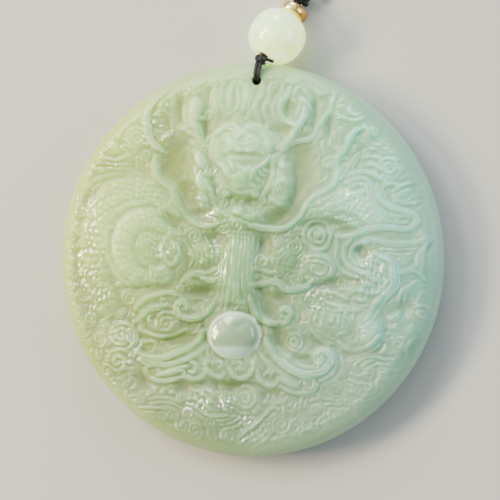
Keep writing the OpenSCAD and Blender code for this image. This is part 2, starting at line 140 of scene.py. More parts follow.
# %% [markdown]
# The carving is drawn here as lists of strokes, in millimetres on the disc's face. A stroke has a kind,
# half its width, its height and the few points that its middle line goes through. A ridge is a round
# raised line, a ribbon has a line cut along its middle, a leaf swells in the middle and ends in points,
# and a cut goes down. A list by motif keeps the drawing easy to change: move a point and that form moves.

# %% the dragon's head
HEAD = [
    ("cut", 0.34, 0.7, [(-3.6, 17.5), (-3.5, 16.3), (-3.4, 15)]),
    ("cut", 0.3, 0.6, [(2.45, 17.7), (2.45, 16.5), (2.3, 15.2)]),
    ("ridge", 0.2, 0.36, [(-3.2, 16.7), (-2.5, 17.25), (-1.6, 17.3), (-0.8, 17)]),
    ("ridge", 0.2, 0.36, [(-3.1, 16.2), (-2.3, 16.75), (-1.5, 16.8), (-0.8, 16.5)]),
    ("ridge", 0.2, 0.36, [(-2.6, 15.8), (-1.9, 16.25), (-1.1, 16.25)]),
    ("ridge", 0.2, 0.36, [(-0.5, 17), (0.4, 17.25), (1.4, 17), (2.1, 16.4)]),
    ("ridge", 0.2, 0.36, [(-0.3, 16.5), (0.6, 16.75), (1.5, 16.45), (2.1, 15.8)]),
    ("ridge", 0.2, 0.36, [(0, 16.1), (0.8, 16.2), (1.6, 15.85)]),
    ("cut", 0.45, 1, [(-3.4, 14.7), (-2.4, 15.1), (-1.1, 15.15), (0.3, 15.1), (1.5, 15), (2.5, 14.6)]),
    ("cut", 0.45, 0.7, [(-3.1, 14.4), (-2.7, 13.7), (-2.2, 12.9)]),
    ("leaf", 0.36, 0.95, [(-2.8, 14.4), (-2.2, 13.5), (-1.6, 12.3)]),
    ("ridge", 0.3, 0.75, [(3.5, 14.9), (3, 14.1), (2.2, 13.5), (1.4, 13), (0.9, 12.4), (0.6, 11.5)]),
    ("ridge", 0.18, 0.26, [(-3.7, 13.1), (-3.2, 12.1), (-2.7, 11.2), (-2.2, 10.5), (-1.4, 10)]),
    ("ridge", 0.2, 0.28, [(-4.5, 12.6), (-4.1, 11.6), (-3.4, 10.7), (-2.5, 10), (-1.5, 9.6), (-0.5, 9.55),
        (0.6, 9.75), (1.7, 10.1), (2.5, 10.8), (2.9, 11.7)]),
    ("ridge", 0.2, 0.35, [(-3.1, 12.9), (-2.7, 12), (-2.3, 11.2)]),
    ("ridge", 0.2, 0.35, [(-4.4, 11.3), (-3.9, 10.6), (-3.3, 10.2)]),
    ("ridge", 0.2, 0.4, [(1.1, 12.6), (1.4, 11.6), (2.1, 10.9)]),
    ("ridge", 0.2, 0.4, [(1.6, 13), (1.9, 12.3), (2.4, 11.9), (2.8, 12.3)]),
    ("ridge", 0.2, 0.4, [(2.2, 13.3), (2.5, 12.7), (3.1, 12.5)]),
    ("ridge", 0.18, 0.35, [(0.5, 11), (0.9, 10.4), (1.6, 10.5)]),
    ("ridge", 0.42, 0.6, [(-4.5, 17.9), (-4.95, 17.1), (-5.05, 16), (-4.9, 14.9), (-4.4, 14), (-3.6, 13.3),
        (-2.9, 12.5), (-2.3, 11.6)]),
    ("ridge", 0.26, 0.42, [(-4.2, 17), (-4.35, 16), (-4.2, 15), (-3.7, 14.2)]),
    ("ridge", 0.24, 0.5, [(-4.7, 17.5), (-4.1, 18.05), (-3.3, 18.55), (-2.4, 18.65), (-1.9, 18.3)]),
    ("ridge", 0.4, 0.8, [(-5.7, 17.5), (-4.7, 18), (-3.9, 18.6), (-3, 19.2), (-2.1, 19.35), (-1.4, 18.9),
        (-1, 18.3), (-1.15, 17.65), (-1.65, 17.5), (-1.85, 17.9), (-1.7, 18.2)]),
    ("ridge", 0.24, 0.5, [(0.5, 18.5), (1.3, 18.55), (2, 18.15), (2.5, 17.4), (2.7, 16.4), (2.7, 15.4)]),
    ("ridge", 0.4, 0.8, [(-0.5, 18), (-0.2, 18.6), (0.3, 19), (1, 19.2), (1.9, 19), (2.6, 18.4),
        (3.05, 17.5), (3.25, 16.5), (3.4, 15.3)]),
    ("ridge", 0.22, 0.5, [(0.4, 18.3), (-0.05, 18), (0.1, 17.6), (0.7, 17.5)]),
    ("cut", 0.18, 0.45, [(5.9, 15), (5, 14.5), (4.45, 13.8), (4.4, 12.8), (4.3, 11.6), (4, 10.6),
        (3.5, 9.6), (2.9, 8.7), (2.2, 8)]),
    ("ridge", 0.4, 0.62, [(6.3, 15.9), (5.4, 15.4), (4.6, 14.9), (4.1, 14.1), (4, 13), (3.9, 12),
        (3.6, 10.9), (3.1, 9.9), (2.5, 9), (2, 8.3)]),
    ("ridge", 0.42, 0.6, [(4.1, 9.8), (4.4, 11), (5.2, 11.5), (6, 10.9), (6.2, 9.8), (5.9, 8.6), (5.1, 7.9),
        (4.3, 8.3), (4.1, 9.4)]),
    ("cut", 0.3, 0.5, [(4.9, 9.9), (5.3, 9.5)]),
    ("ridge", 0.18, 0.4, [(4.7, 8.9), (5.2, 8.6), (5.6, 9.1)]),
    ("leaf", 0.45, 0.4, [(3.4, 9.3), (3.6, 8.6), (3.6, 7.9)]),
    ("leaf", 0.75, 0.7, [(-7.9, 15.6), (-7.1, 14.4), (-6.2, 12.8)]),
    ("cut", 0.14, 0.25, [(-7.3, 14.9), (-6.8, 14), (-6.3, 13.3)]),
    ("leaf", 0.8, 0.7, [(-7.5, 12.2), (-6.7, 10.8), (-6, 9.4)]),
    ("cut", 0.14, 0.25, [(-6.9, 11.7), (-6.3, 10.7), (-5.9, 9.9)]),
    ("leaf", 0.85, 0.6, [(-6.3, 9.8), (-6.8, 8.5), (-6.3, 7)]),
    ("ridge", 0.36, 0.7, [(-5.9, 11.3), (-5.6, 10.3), (-5.2, 9.3), (-4.8, 8.4), (-4.4, 7.5), (-3.8, 6.8),
        (-3, 6.3)]),
    ("ridge", 0.45, 0.65, [(-1, 6.8), (-0.5, 6.3), (0.3, 6.1), (1.1, 6.3), (1.6, 6.7)]),
    ("ridge", 0.24, 0.5, [(2.9, 8.9), (2.6, 8.2), (2.1, 7.6), (1.8, 6.9), (1.9, 6.1), (2.5, 5.4)]),
    ("ridge", 0.2, 0.35, [(-3.5, 5.2), (-2.8, 5.65), (-2.1, 5.6), (-1.6, 5.2)]),
    ("ridge", 0.2, 0.35, [(-1, 5.6), (-0.2, 5.3), (0.6, 5.5)]),
    ("ridge", 0.2, 0.3, [(-4.6, 7), (-3.9, 7.4), (-3.5, 8)]),
]
print("head:", len(HEAD))

# %% [markdown]
# The antlers and the mane lie behind the head, so they are carved before it.

# %% the antlers and the mane
ANTLERS = [
    ("ridge", 0.62, 0.9, [(-6.2, 16.3), (-6.8, 17), (-7.3, 17.9), (-7.5, 18.9), (-7.8, 19.8), (-8.1, 20.8),
        (-8, 21.8), (-7.6, 22.7)]),
    ("ridge", 0.38, 0.75, [(-7.7, 19.9), (-7, 20.2), (-6.1, 20.15)]),
    ("ridge", 0.4, 0.75, [(-7.1, 17.4), (-7.9, 17.9), (-8.8, 18.3), (-9.8, 18.8)]),
    ("cut", 0.2, 0.6, [(-8.75, 19.5), (-8.85, 20.8), (-8.8, 22.3), (-8.2, 23.2), (-7.4, 23.7)]),
    ("cut", 0.35, 0.6, [(-9.4, 19.6), (-9.4, 21), (-9.4, 22.4)]),
    ("cut", 0.3, 0.6, [(-5.6, 21), (-5.5, 22.4), (-5.4, 24.2)]),
    ("ridge", 0.3, 0.6, [(-7.3, 17), (-6.8, 16.4), (-6.1, 16.1)]),
    ("leaf", 0.45, 0.6, [(-5.9, 17.3), (-5.2, 17.6), (-4.4, 17.9)]),
    ("ridge", 0.36, 0.65, [(3.4, 17.8), (4.2, 17.9), (4.75, 17.3), (4.9, 16.4), (4.7, 15.6)]),
    ("leaf", 0.75, 0.5, [(3.6, 17.6), (4.1, 16.6), (4.3, 15.5)]),
    ("ridge", 0.42, 0.8, [(4.9, 15.5), (5.7, 16), (6.6, 16.5), (7.6, 16.85), (8.6, 16.95), (9.4, 17.2),
        (10, 17.8)]),
    ("ridge", 0.5, 0.85, [(7.2, 19.2), (6.4, 19.5), (5.6, 20.1), (5.1, 20.9), (4.95, 21.8), (5.4, 22.7),
        (6, 23.5), (6.3, 24.4)]),
    ("ridge", 0.56, 0.95, [(4.6, 15.8), (5.3, 16.2), (6, 16.9), (6.7, 17.8), (7.3, 18.7), (7.9, 19.6),
        (8.5, 20.6), (8.8, 21.6), (8.5, 22.4), (8, 22.9)]),
    ("leaf", 0.3, 0.7, [(7.1, 20.3), (7.55, 21.3), (8.1, 22.3)]),
    ("leaf", 0.34, 0.5, [(4.6, 13.9), (5.3, 14.5), (6.2, 14.9)]),
]
MANE = [
    ("ridge", 0.48, 0.5, [(-4.1, 20.2), (-4.5, 21.5), (-4.3, 23), (-4.5, 24.3), (-4.4, 25.2)]),
    ("ridge", 0.34, 0.5, [(-3.1, 20), (-3.2, 21.1), (-3.8, 22.3), (-3.7, 23.6), (-3.4, 25)]),
    ("ridge", 0.5, 0.5, [(-2.9, 20.6), (-2.5, 21.8), (-2.6, 23.2), (-2.3, 24.5), (-1.7, 25.3)]),
    ("ridge", 0.2, 0.55, [(-3.1, 20.5), (-2.3, 20.9), (-1.5, 21.6), (-1.1, 22.5), (-1.3, 23.5),
        (-1.2, 24.5)]),
    ("leaf", 0.75, 0.5, [(-0.9, 20.9), (0.1, 22.8), (0, 25.2)]),
    ("ridge", 0.2, 0.55, [(-0.1, 19.9), (0.4, 20.5), (0.5, 21.4), (0.6, 22.2)]),
    ("ridge", 0.42, 0.55, [(2.3, 19.6), (1.6, 20.4), (1.2, 21.4), (1.5, 22.5), (2.2, 23.4), (2.4, 24.4),
        (2.2, 25.2)]),
    ("ridge", 0.36, 0.5, [(3.2, 20), (2.7, 20.9), (2.8, 22), (3.4, 23), (3.4, 24.2), (3.8, 25.2)]),
    ("ridge", 0.36, 0.5, [(4.5, 19.9), (4, 20.9), (4, 22), (4.6, 23), (5.2, 23.8), (5.3, 24.8)]),
    ("ridge", 0.3, 0.4, [(3.4, 25.9), (4.3, 26.2), (5.3, 25.9)]),
    ("leaf", 0.6, 0.4, [(5.8, 25.4), (7.1, 25.4), (8.4, 25.4)]),
    ("ridge", 0.3, 0.4, [(7, 23.4), (7.3, 24.2), (7.9, 24.7)]),
    ("ridge", 0.3, 0.4, [(8.4, 24.2), (8.9, 23.6), (9.4, 23), (9.5, 21.8), (9.6, 20.6), (9.3, 19.4)]),
    ("cut", 0.5, 0.6, [(10.2, 22.4), (10.2, 21), (10.1, 19.6), (9.8, 18.6)]),
]
print("antlers:", len(ANTLERS), "mane:", len(MANE))

# %% [markdown]
# The whiskers lie over the body and the ground, so they are carved just before the head.

# %% the two whiskers
WHISKERS = [
    ("ribbon", 0.55, 1, [(-13.2, 14.9), (-13.5, 13.7), (-13.4, 12.4), (-12.8, 11.5), (-11.9, 10.8),
        (-11, 10.1), (-10.5, 9.2), (-10, 8), (-9.4, 6.9), (-8.5, 6), (-7.4, 5.3), (-6.2, 4.9), (-5, 4.9),
        (-4, 5.2)]),
    ("ribbon", 0.55, 1, [(-10.5, 25.2), (-12.2, 24.1), (-13.6, 22.8), (-14.5, 21.4), (-14.8, 19.9),
        (-14.6, 18.4), (-14.2, 17.1), (-13.4, 16.2), (-12.3, 15.4)]),
    ("ribbon", 0.55, 1.05, [(0.4, 4.9), (2, 4.5), (3.6, 4.4), (5, 4.4), (6.2, 4.8), (7.2, 5.6), (8, 6.5),
        (8.5, 7.5), (9.2, 8.5), (10.2, 9.3), (11.4, 9.9), (12.5, 10.5), (13.1, 11.4), (13.3, 12.6),
        (13.2, 13.8), (13.5, 14.9), (14.4, 15.6), (14.9, 16.6), (15.2, 17.5), (16.3, 18.7)]),
    ("ridge", 0.34, 0.7, [(10, 17.6), (10.3, 18.5), (10.8, 19.5), (11.6, 20.4), (12.3, 21.4), (12.5, 22.5),
        (12.8, 23.4), (13.4, 24.2)]),
]
print("whiskers:", len(WHISKERS))

# %% [markdown]
# The beard is the first of the front motifs whose crests get painted light, so its strokes look lighter than
# the ground's.

# %% the beard with its side ribbons
BEARD = [
    ("ridge", 0.3, 0.45, [(1.2, 3.2), (1, 1.6), (0.8, -0.4), (0.7, -2.4), (1, -4), (1.6, -5.4),
        (2.2, -6.8)]),
    ("ridge", 0.34, 0.5, [(0.55, 3.1), (0.4, 1.2), (0.2, -0.8), (0.25, -2.8), (0.6, -4.8), (1, -6.6),
        (1.9, -8.2)]),
    ("ridge", 0.34, 0.55, [(0, 3.2), (-0.15, 1.2), (-0.4, -0.8), (-0.45, -2.8), (-0.2, -4.8), (0.2, -6.6)]),
    ("ridge", 0.3, 0.55, [(-0.6, 2.7), (-0.8, 1.2), (-1.05, -0.8), (-1.2, -2.8), (-1.2, -4.8),
        (-0.9, -6.5)]),
    ("ridge", 0.28, 0.5, [(-1.2, 3.3), (-1.3, 1.6), (-1.6, -0.4), (-1.7, -2.4), (-1.8, -4.4),
        (-1.9, -6.6)]),
    ("ridge", 0.32, 0.6, [(-1.7, 3.2), (-1.9, 1.4), (-2.1, -0.6), (-2.3, -2.8), (-2.6, -4.8), (-3, -6.9)]),
    ("ridge", 0.3, 0.55, [(-2.3, 3.5), (-2.5, 1.8), (-2.8, 0), (-3, -2), (-3.3, -4.2), (-3.7, -6.9)]),
    ("ridge", 0.34, 0.5, [(-2.9, 2.4), (-3.2, 0.6), (-3.5, -1.2), (-3.8, -2.8), (-4.2, -4.6), (-4.9, -6.6),
        (-5.8, -7.9)]),
    ("ribbon", 0.5, 0.85, [(-9.4, -3.2), (-8.6, -2.4), (-7.6, -2), (-6.6, -2.3), (-5.7, -2.9), (-4.8, -2.9),
        (-4.2, -2.4)]),
    ("ridge", 0.3, 0.6, [(-7.8, -1.6), (-6.8, -1.8), (-5.8, -1.9), (-4.9, -1.5), (-4.3, -1.2)]),
    ("ribbon", 0.55, 0.9, [(0.7, -3.6), (1.7, -3.6), (2.7, -3.4), (3.6, -3.1), (4.4, -3.2), (5, -3.7),
        (5.6, -4.2), (6.6, -4.3), (7.8, -4.1), (8.9, -3.8), (9.9, -3)]),
    ("ridge", 0.3, 0.5, [(0.9, -2), (1.2, -1.3), (2.2, -1.5), (3.2, -1.8), (4.4, -1.8)]),
]
print("beard:", len(BEARD))

# %% [markdown]
# The scrolls frame the pearl, and their crests get painted light like the beard's.

# %% the scrolls round the pearl
SCROLLS = [
    ("ribbon", 0.55, 1, [(0.6, -5.4), (0.9, -6.6), (1.5, -7.8), (2.4, -8.6), (3.6, -9.05), (5, -9.1),
        (6, -8.7), (6.5, -7.9), (6.3, -7.2), (5.6, -6.9), (4.9, -7.3), (4.9, -8), (5.5, -8.2)]),
    ("ribbon", 0.55, 1, [(-4.8, -6.2), (-5.7, -7.3), (-6.9, -8.2), (-8.3, -8.5), (-9.5, -8.1),
        (-10.2, -7.2), (-10, -6.3), (-9.2, -6), (-8.6, -6.5), (-8.8, -7.1)]),
    ("ridge", 0.42, 0.7, [(4.7, -12.4), (5.4, -13.3), (6.5, -14.2), (7.8, -14.9), (9, -15.3), (10.2, -15.2),
        (10.9, -15)]),
    ("ridge", 0.34, 0.6, [(11, -12.3), (12.1, -12.5), (12.9, -13.3), (13.2, -14.6), (13, -15.9),
        (12.1, -16.8), (10.8, -17.3)]),
    ("ribbon", 0.7, 1.15, [(2.8, -11.2), (3.2, -12.3), (3.9, -13.3), (4.9, -14.4), (6, -15.3), (7.3, -16),
        (8.7, -16.4), (10, -16.3), (11.3, -15.9), (12.1, -15.2), (12.5, -14.4), (12.3, -13.6),
        (11.7, -13.1), (10.9, -12.9), (10.2, -13.4), (10.2, -14.2), (10.8, -14.6), (11.3, -14.2),
        (11, -13.8)]),
    ("ridge", 0.4, 0.6, [(2.3, -13.6), (3.2, -14.8), (4.4, -15.8), (5.7, -16.6), (7.1, -17.4), (7.9, -18)]),
    ("leaf", 0.6, 0.8, [(4.6, -16.7), (6.2, -17.6), (7.9, -18.5)]),
    ("ridge", 0.34, 0.7, [(4.9, -18), (6.1, -18.7), (7.5, -19.05), (9.1, -19.05), (10.2, -18.5),
        (10.6, -17.7)]),
    ("ridge", 0.3, 0.6, [(7.9, -17.6), (8.3, -17), (9.1, -16.85), (9.9, -17.2), (10, -18), (9.3, -18.4),
        (8.6, -18.3)]),
    ("ribbon", 0.6, 0.9, [(-6.2, -10), (-6.9, -11.2), (-7.9, -12.1), (-9.2, -12.8), (-10.5, -13.3),
        (-12, -13.9), (-13.6, -14.1), (-15.2, -13.8), (-16.1, -13)]),
    ("ridge", 0.45, 0.8, [(-5.8, -12.2), (-6.9, -13.2), (-8.4, -14), (-10, -14.6), (-11.6, -15),
        (-13, -14.9), (-14.6, -14.9), (-15.7, -14.3)]),
    ("leaf", 0.6, 0.9, [(-8.6, -15), (-10.8, -15.9), (-13.4, -16.6)]),
    ("ridge", 0.4, 0.75, [(-9.2, -16.8), (-11, -17.2), (-12.8, -17.3), (-14.2, -16.8), (-14.8, -15.8),
        (-14.4, -15.2)]),
    ("ridge", 0.24, 0.4, [(-13, -15.3), (-12.8, -16), (-13.2, -16.6)]),
    ("ridge", 0.3, 0.5, [(-7.9, -10.6), (-7.3, -10.3), (-6.9, -9.6), (-6.5, -9.2)]),
    ("ridge", 0.4, 0.8, [(-9.2, -15.8), (-9, -16.6), (-7.9, -17.1), (-6.7, -16.9), (-6, -16.2),
        (-6.2, -15.4)]),
    ("ridge", 0.3, 0.7, [(-8.5, -15.9), (-7.9, -16.2), (-7.4, -15.7), (-7.5, -14.9), (-8.2, -14.6)]),
    ("ridge", 0.4, 0.8, [(-5.9, -14.9), (-5.6, -15.9), (-4.7, -16.6), (-3.6, -16.7), (-3, -16)]),
    ("ridge", 0.3, 0.7, [(-4.9, -15.1), (-4.6, -14.5), (-3.9, -14.4), (-3.5, -15), (-3.9, -15.5)]),
    ("ridge", 0.4, 0.8, [(-2.4, -15.2), (-2.2, -16.2), (-1.4, -16.9), (-0.3, -16.9), (0.6, -16.3),
        (1.1, -15.3), (1.1, -14.4)]),
    ("ridge", 0.3, 0.7, [(-2, -15), (-1.5, -14.5), (-0.8, -14.7), (-0.7, -15.3), (-1.3, -15.7)]),
    ("ridge", 0.4, 0.8, [(1.6, -15.8), (1.9, -17.1), (2.9, -17.9), (4.1, -17.9), (4.8, -17.3)]),
    ("ridge", 0.26, 0.6, [(3, -16.2), (3.4, -15.7), (3.9, -16.1), (3.6, -16.7)]),
]
print("scrolls:", len(SCROLLS))

# %% [markdown]
# The motifs of the ground are carved first and get no painted crest light, so they seem to lie further back.

# %% the coil of the body on the left
LEFT = [
    ("ridge", 0.42, 0.6, [(-14.4, 8.2), (-15.8, 8.2), (-17.4, 7.9), (-18.7, 7.2), (-19.7, 6.1),
        (-20.4, 4.6), (-20.6, 2.8), (-20.5, 1), (-20, -0.7), (-19.2, -2.1), (-18, -3.2), (-16.8, -3.9)]),
    ("ridge", 0.36, 0.5, [(-24.6, 8.4), (-23.8, 9.8), (-22.6, 11), (-21.2, 11.7), (-19.6, 12.1),
        (-17.8, 12.3), (-16.2, 12.3), (-14.9, 11.9)]),
    ("ridge", 0.3, 0.45, [(-14, -0.8), (-13.8, -2), (-14.3, -3.2)]),
    ("ridge", 0.24, 0.4, [(-15.1, -1.4), (-15.2, -2.4), (-15.8, -3.2)]),
    ("ridge", 0.24, 0.4, [(-12.9, -1.2), (-12.6, -2.4), (-12.9, -3.3)]),
    ("ridge", 0.36, 0.6, [(-10.6, 4.4), (-11.4, 3.4), (-12.3, 2.2), (-12.4, 0.8), (-11.8, -0.5),
        (-10.7, -0.7), (-10, 0.3), (-10.3, 1.6), (-10.8, 2.6)]),
    ("ridge", 0.26, 0.5, [(-9.9, 4.4), (-9.5, 4.9), (-8.9, 4.6), (-8.9, 3.9), (-9.4, 3.6)]),
    ("ridge", 0.3, 0.5, [(-12.9, 8), (-12.4, 6.8), (-11.7, 5.8), (-10.8, 4.9)]),
    ("ridge", 0.3, 0.4, [(-9, 2.8), (-8.2, 1.6), (-7.8, 0.2), (-8.2, -1)]),
    ("ridge", 0.24, 0.4, [(-7.4, 2.6), (-6.6, 1.4), (-6.3, 0), (-6.8, -1)]),
    ("ridge", 0.24, 0.4, [(-6, 3.2), (-5.2, 2.2), (-4.9, 0.9), (-5.2, -0.3)]),
    ("ribbon", 0.5, 0.6, [(-16.4, -9), (-15.4, -8.3), (-14.9, -7.5), (-14, -7), (-12.8, -6.8),
        (-11.6, -6.4)]),
    ("ribbon", 0.45, 0.7, [(-16.4, -7), (-15.7, -6.3), (-15, -5.6), (-13.8, -5.1), (-12.4, -4.7),
        (-11, -4.7), (-10.2, -5.2)]),
    ("ridge", 0.24, 0.5, [(-21.4, -8.9), (-20.2, -8.2), (-19, -7.4)]),
    ("leaf", 0.75, 0.6, [(-19.4, -8.2), (-18.4, -7.8), (-17.6, -7)]),
    ("ridge", 0.22, 0.45, [(-24.2, -6), (-23, -5.6), (-22.3, -4.9)]),
    ("ridge", 0.25, 0.5, [(-24.3, -1.5), (-23.6, -1.8), (-22.9, -1.3)]),
    ("ridge", 0.28, 0.55, [(-21.8, -3.8), (-21.1, -3.4), (-21, -2.8)]),
    ("ridge", 0.24, 0.5, [(-21.2, -4.6), (-20.7, -4.4), (-20.3, -3.9)]),
    ("ridge", 0.22, 0.4, [(-24.3, -11.2), (-23.4, -10.8), (-22.8, -10.1)]),
    ("ridge", 0.22, 0.4, [(-16.9, -12.6), (-16.5, -11.9), (-16.2, -11.2)]),
    ("ridge", 0.22, 0.4, [(-24.5, 9.1), (-23.6, 10.3), (-22.8, 11.1)]),
    ("ridge", 0.22, 0.4, [(-22.6, 9.9), (-21.8, 10.5), (-21.2, 11)]),
    ("cut", 0.3, 0.5, [(-16.4, -4), (-14.6, -4), (-12.6, -3.8), (-10.8, -3.9)]),
    ("ridge", 0.3, 0.55, [(-15.8, -9.9), (-14.6, -10.5), (-13.2, -10.9), (-11.4, -11), (-9.8, -10.5),
        (-8.6, -9.8)]),
    ("ridge", 0.24, 0.4, [(-14, -7.9), (-14.2, -8.8), (-13.6, -9.7), (-12.4, -10.2)]),
    ("ridge", 0.3, 0.5, [(-15.9, -12.7), (-15.1, -11.9), (-14.1, -11.6), (-13.2, -12.2), (-13.6, -13)]),
    ("ridge", 0.24, 0.4, [(-12.6, -12), (-12, -11.8), (-11.4, -12.3), (-11.8, -12.9)]),
    ("ridge", 0.24, 0.4, [(-11, -12.4), (-10.4, -12.2), (-9.9, -12.6)]),
    ("ridge", 0.3, 0.45, [(-22.2, 14.7), (-20.8, 14.5), (-19.2, 14.2), (-18, 14.5), (-17.2, 15.4)]),
    ("ridge", 0.26, 0.4, [(-22.6, 13.9), (-20.8, 13.7), (-18.8, 13.5), (-16.8, 13.7)]),
    ("ridge", 0.3, 0.4, [(-23, 12.9), (-21, 12.9), (-18.8, 12.9), (-16.6, 12.9)]),
    ("ridge", 0.26, 0.4, [(-20.8, 16.6), (-20.2, 16.9), (-19.4, 16.7)]),
    ("ridge", 0.26, 0.45, [(-16.1, 14.2), (-15.9, 13.4), (-15.9, 12.9)]),
    ("ridge", 0.26, 0.4, [(-18.2, 17.2), (-17.4, 16.8), (-16.9, 16.4), (-15.8, 16.2), (-14.9, 16.6)]),
    ("leaf", 0.42, 0.6, [(-12.4, 16.8), (-11.7, 17.6), (-11.1, 18.5)]),
    ("ridge", 0.24, 0.4, [(-10.9, 20.2), (-10.8, 19.2), (-10.6, 18.2)]),
    ("ridge", 0.24, 0.4, [(-13.4, 20.9), (-12.6, 21.2), (-11.8, 21), (-11, 20.4)]),
    ("ridge", 0.22, 0.35, [(-12.7, 23.2), (-12.3, 24)]),
    ("cut", 0.14, 0.3, [(-12, 22.9), (-11.6, 23.8), (-11.1, 24.9)]),
    ("cut", 0.14, 0.3, [(-16.4, 20.2), (-15.8, 20.6), (-15.3, 21.1)]),
]
print("left:", len(LEFT))

# %% [markdown]
# The right side is the busiest, so its list is the longest. It belongs to the ground too.

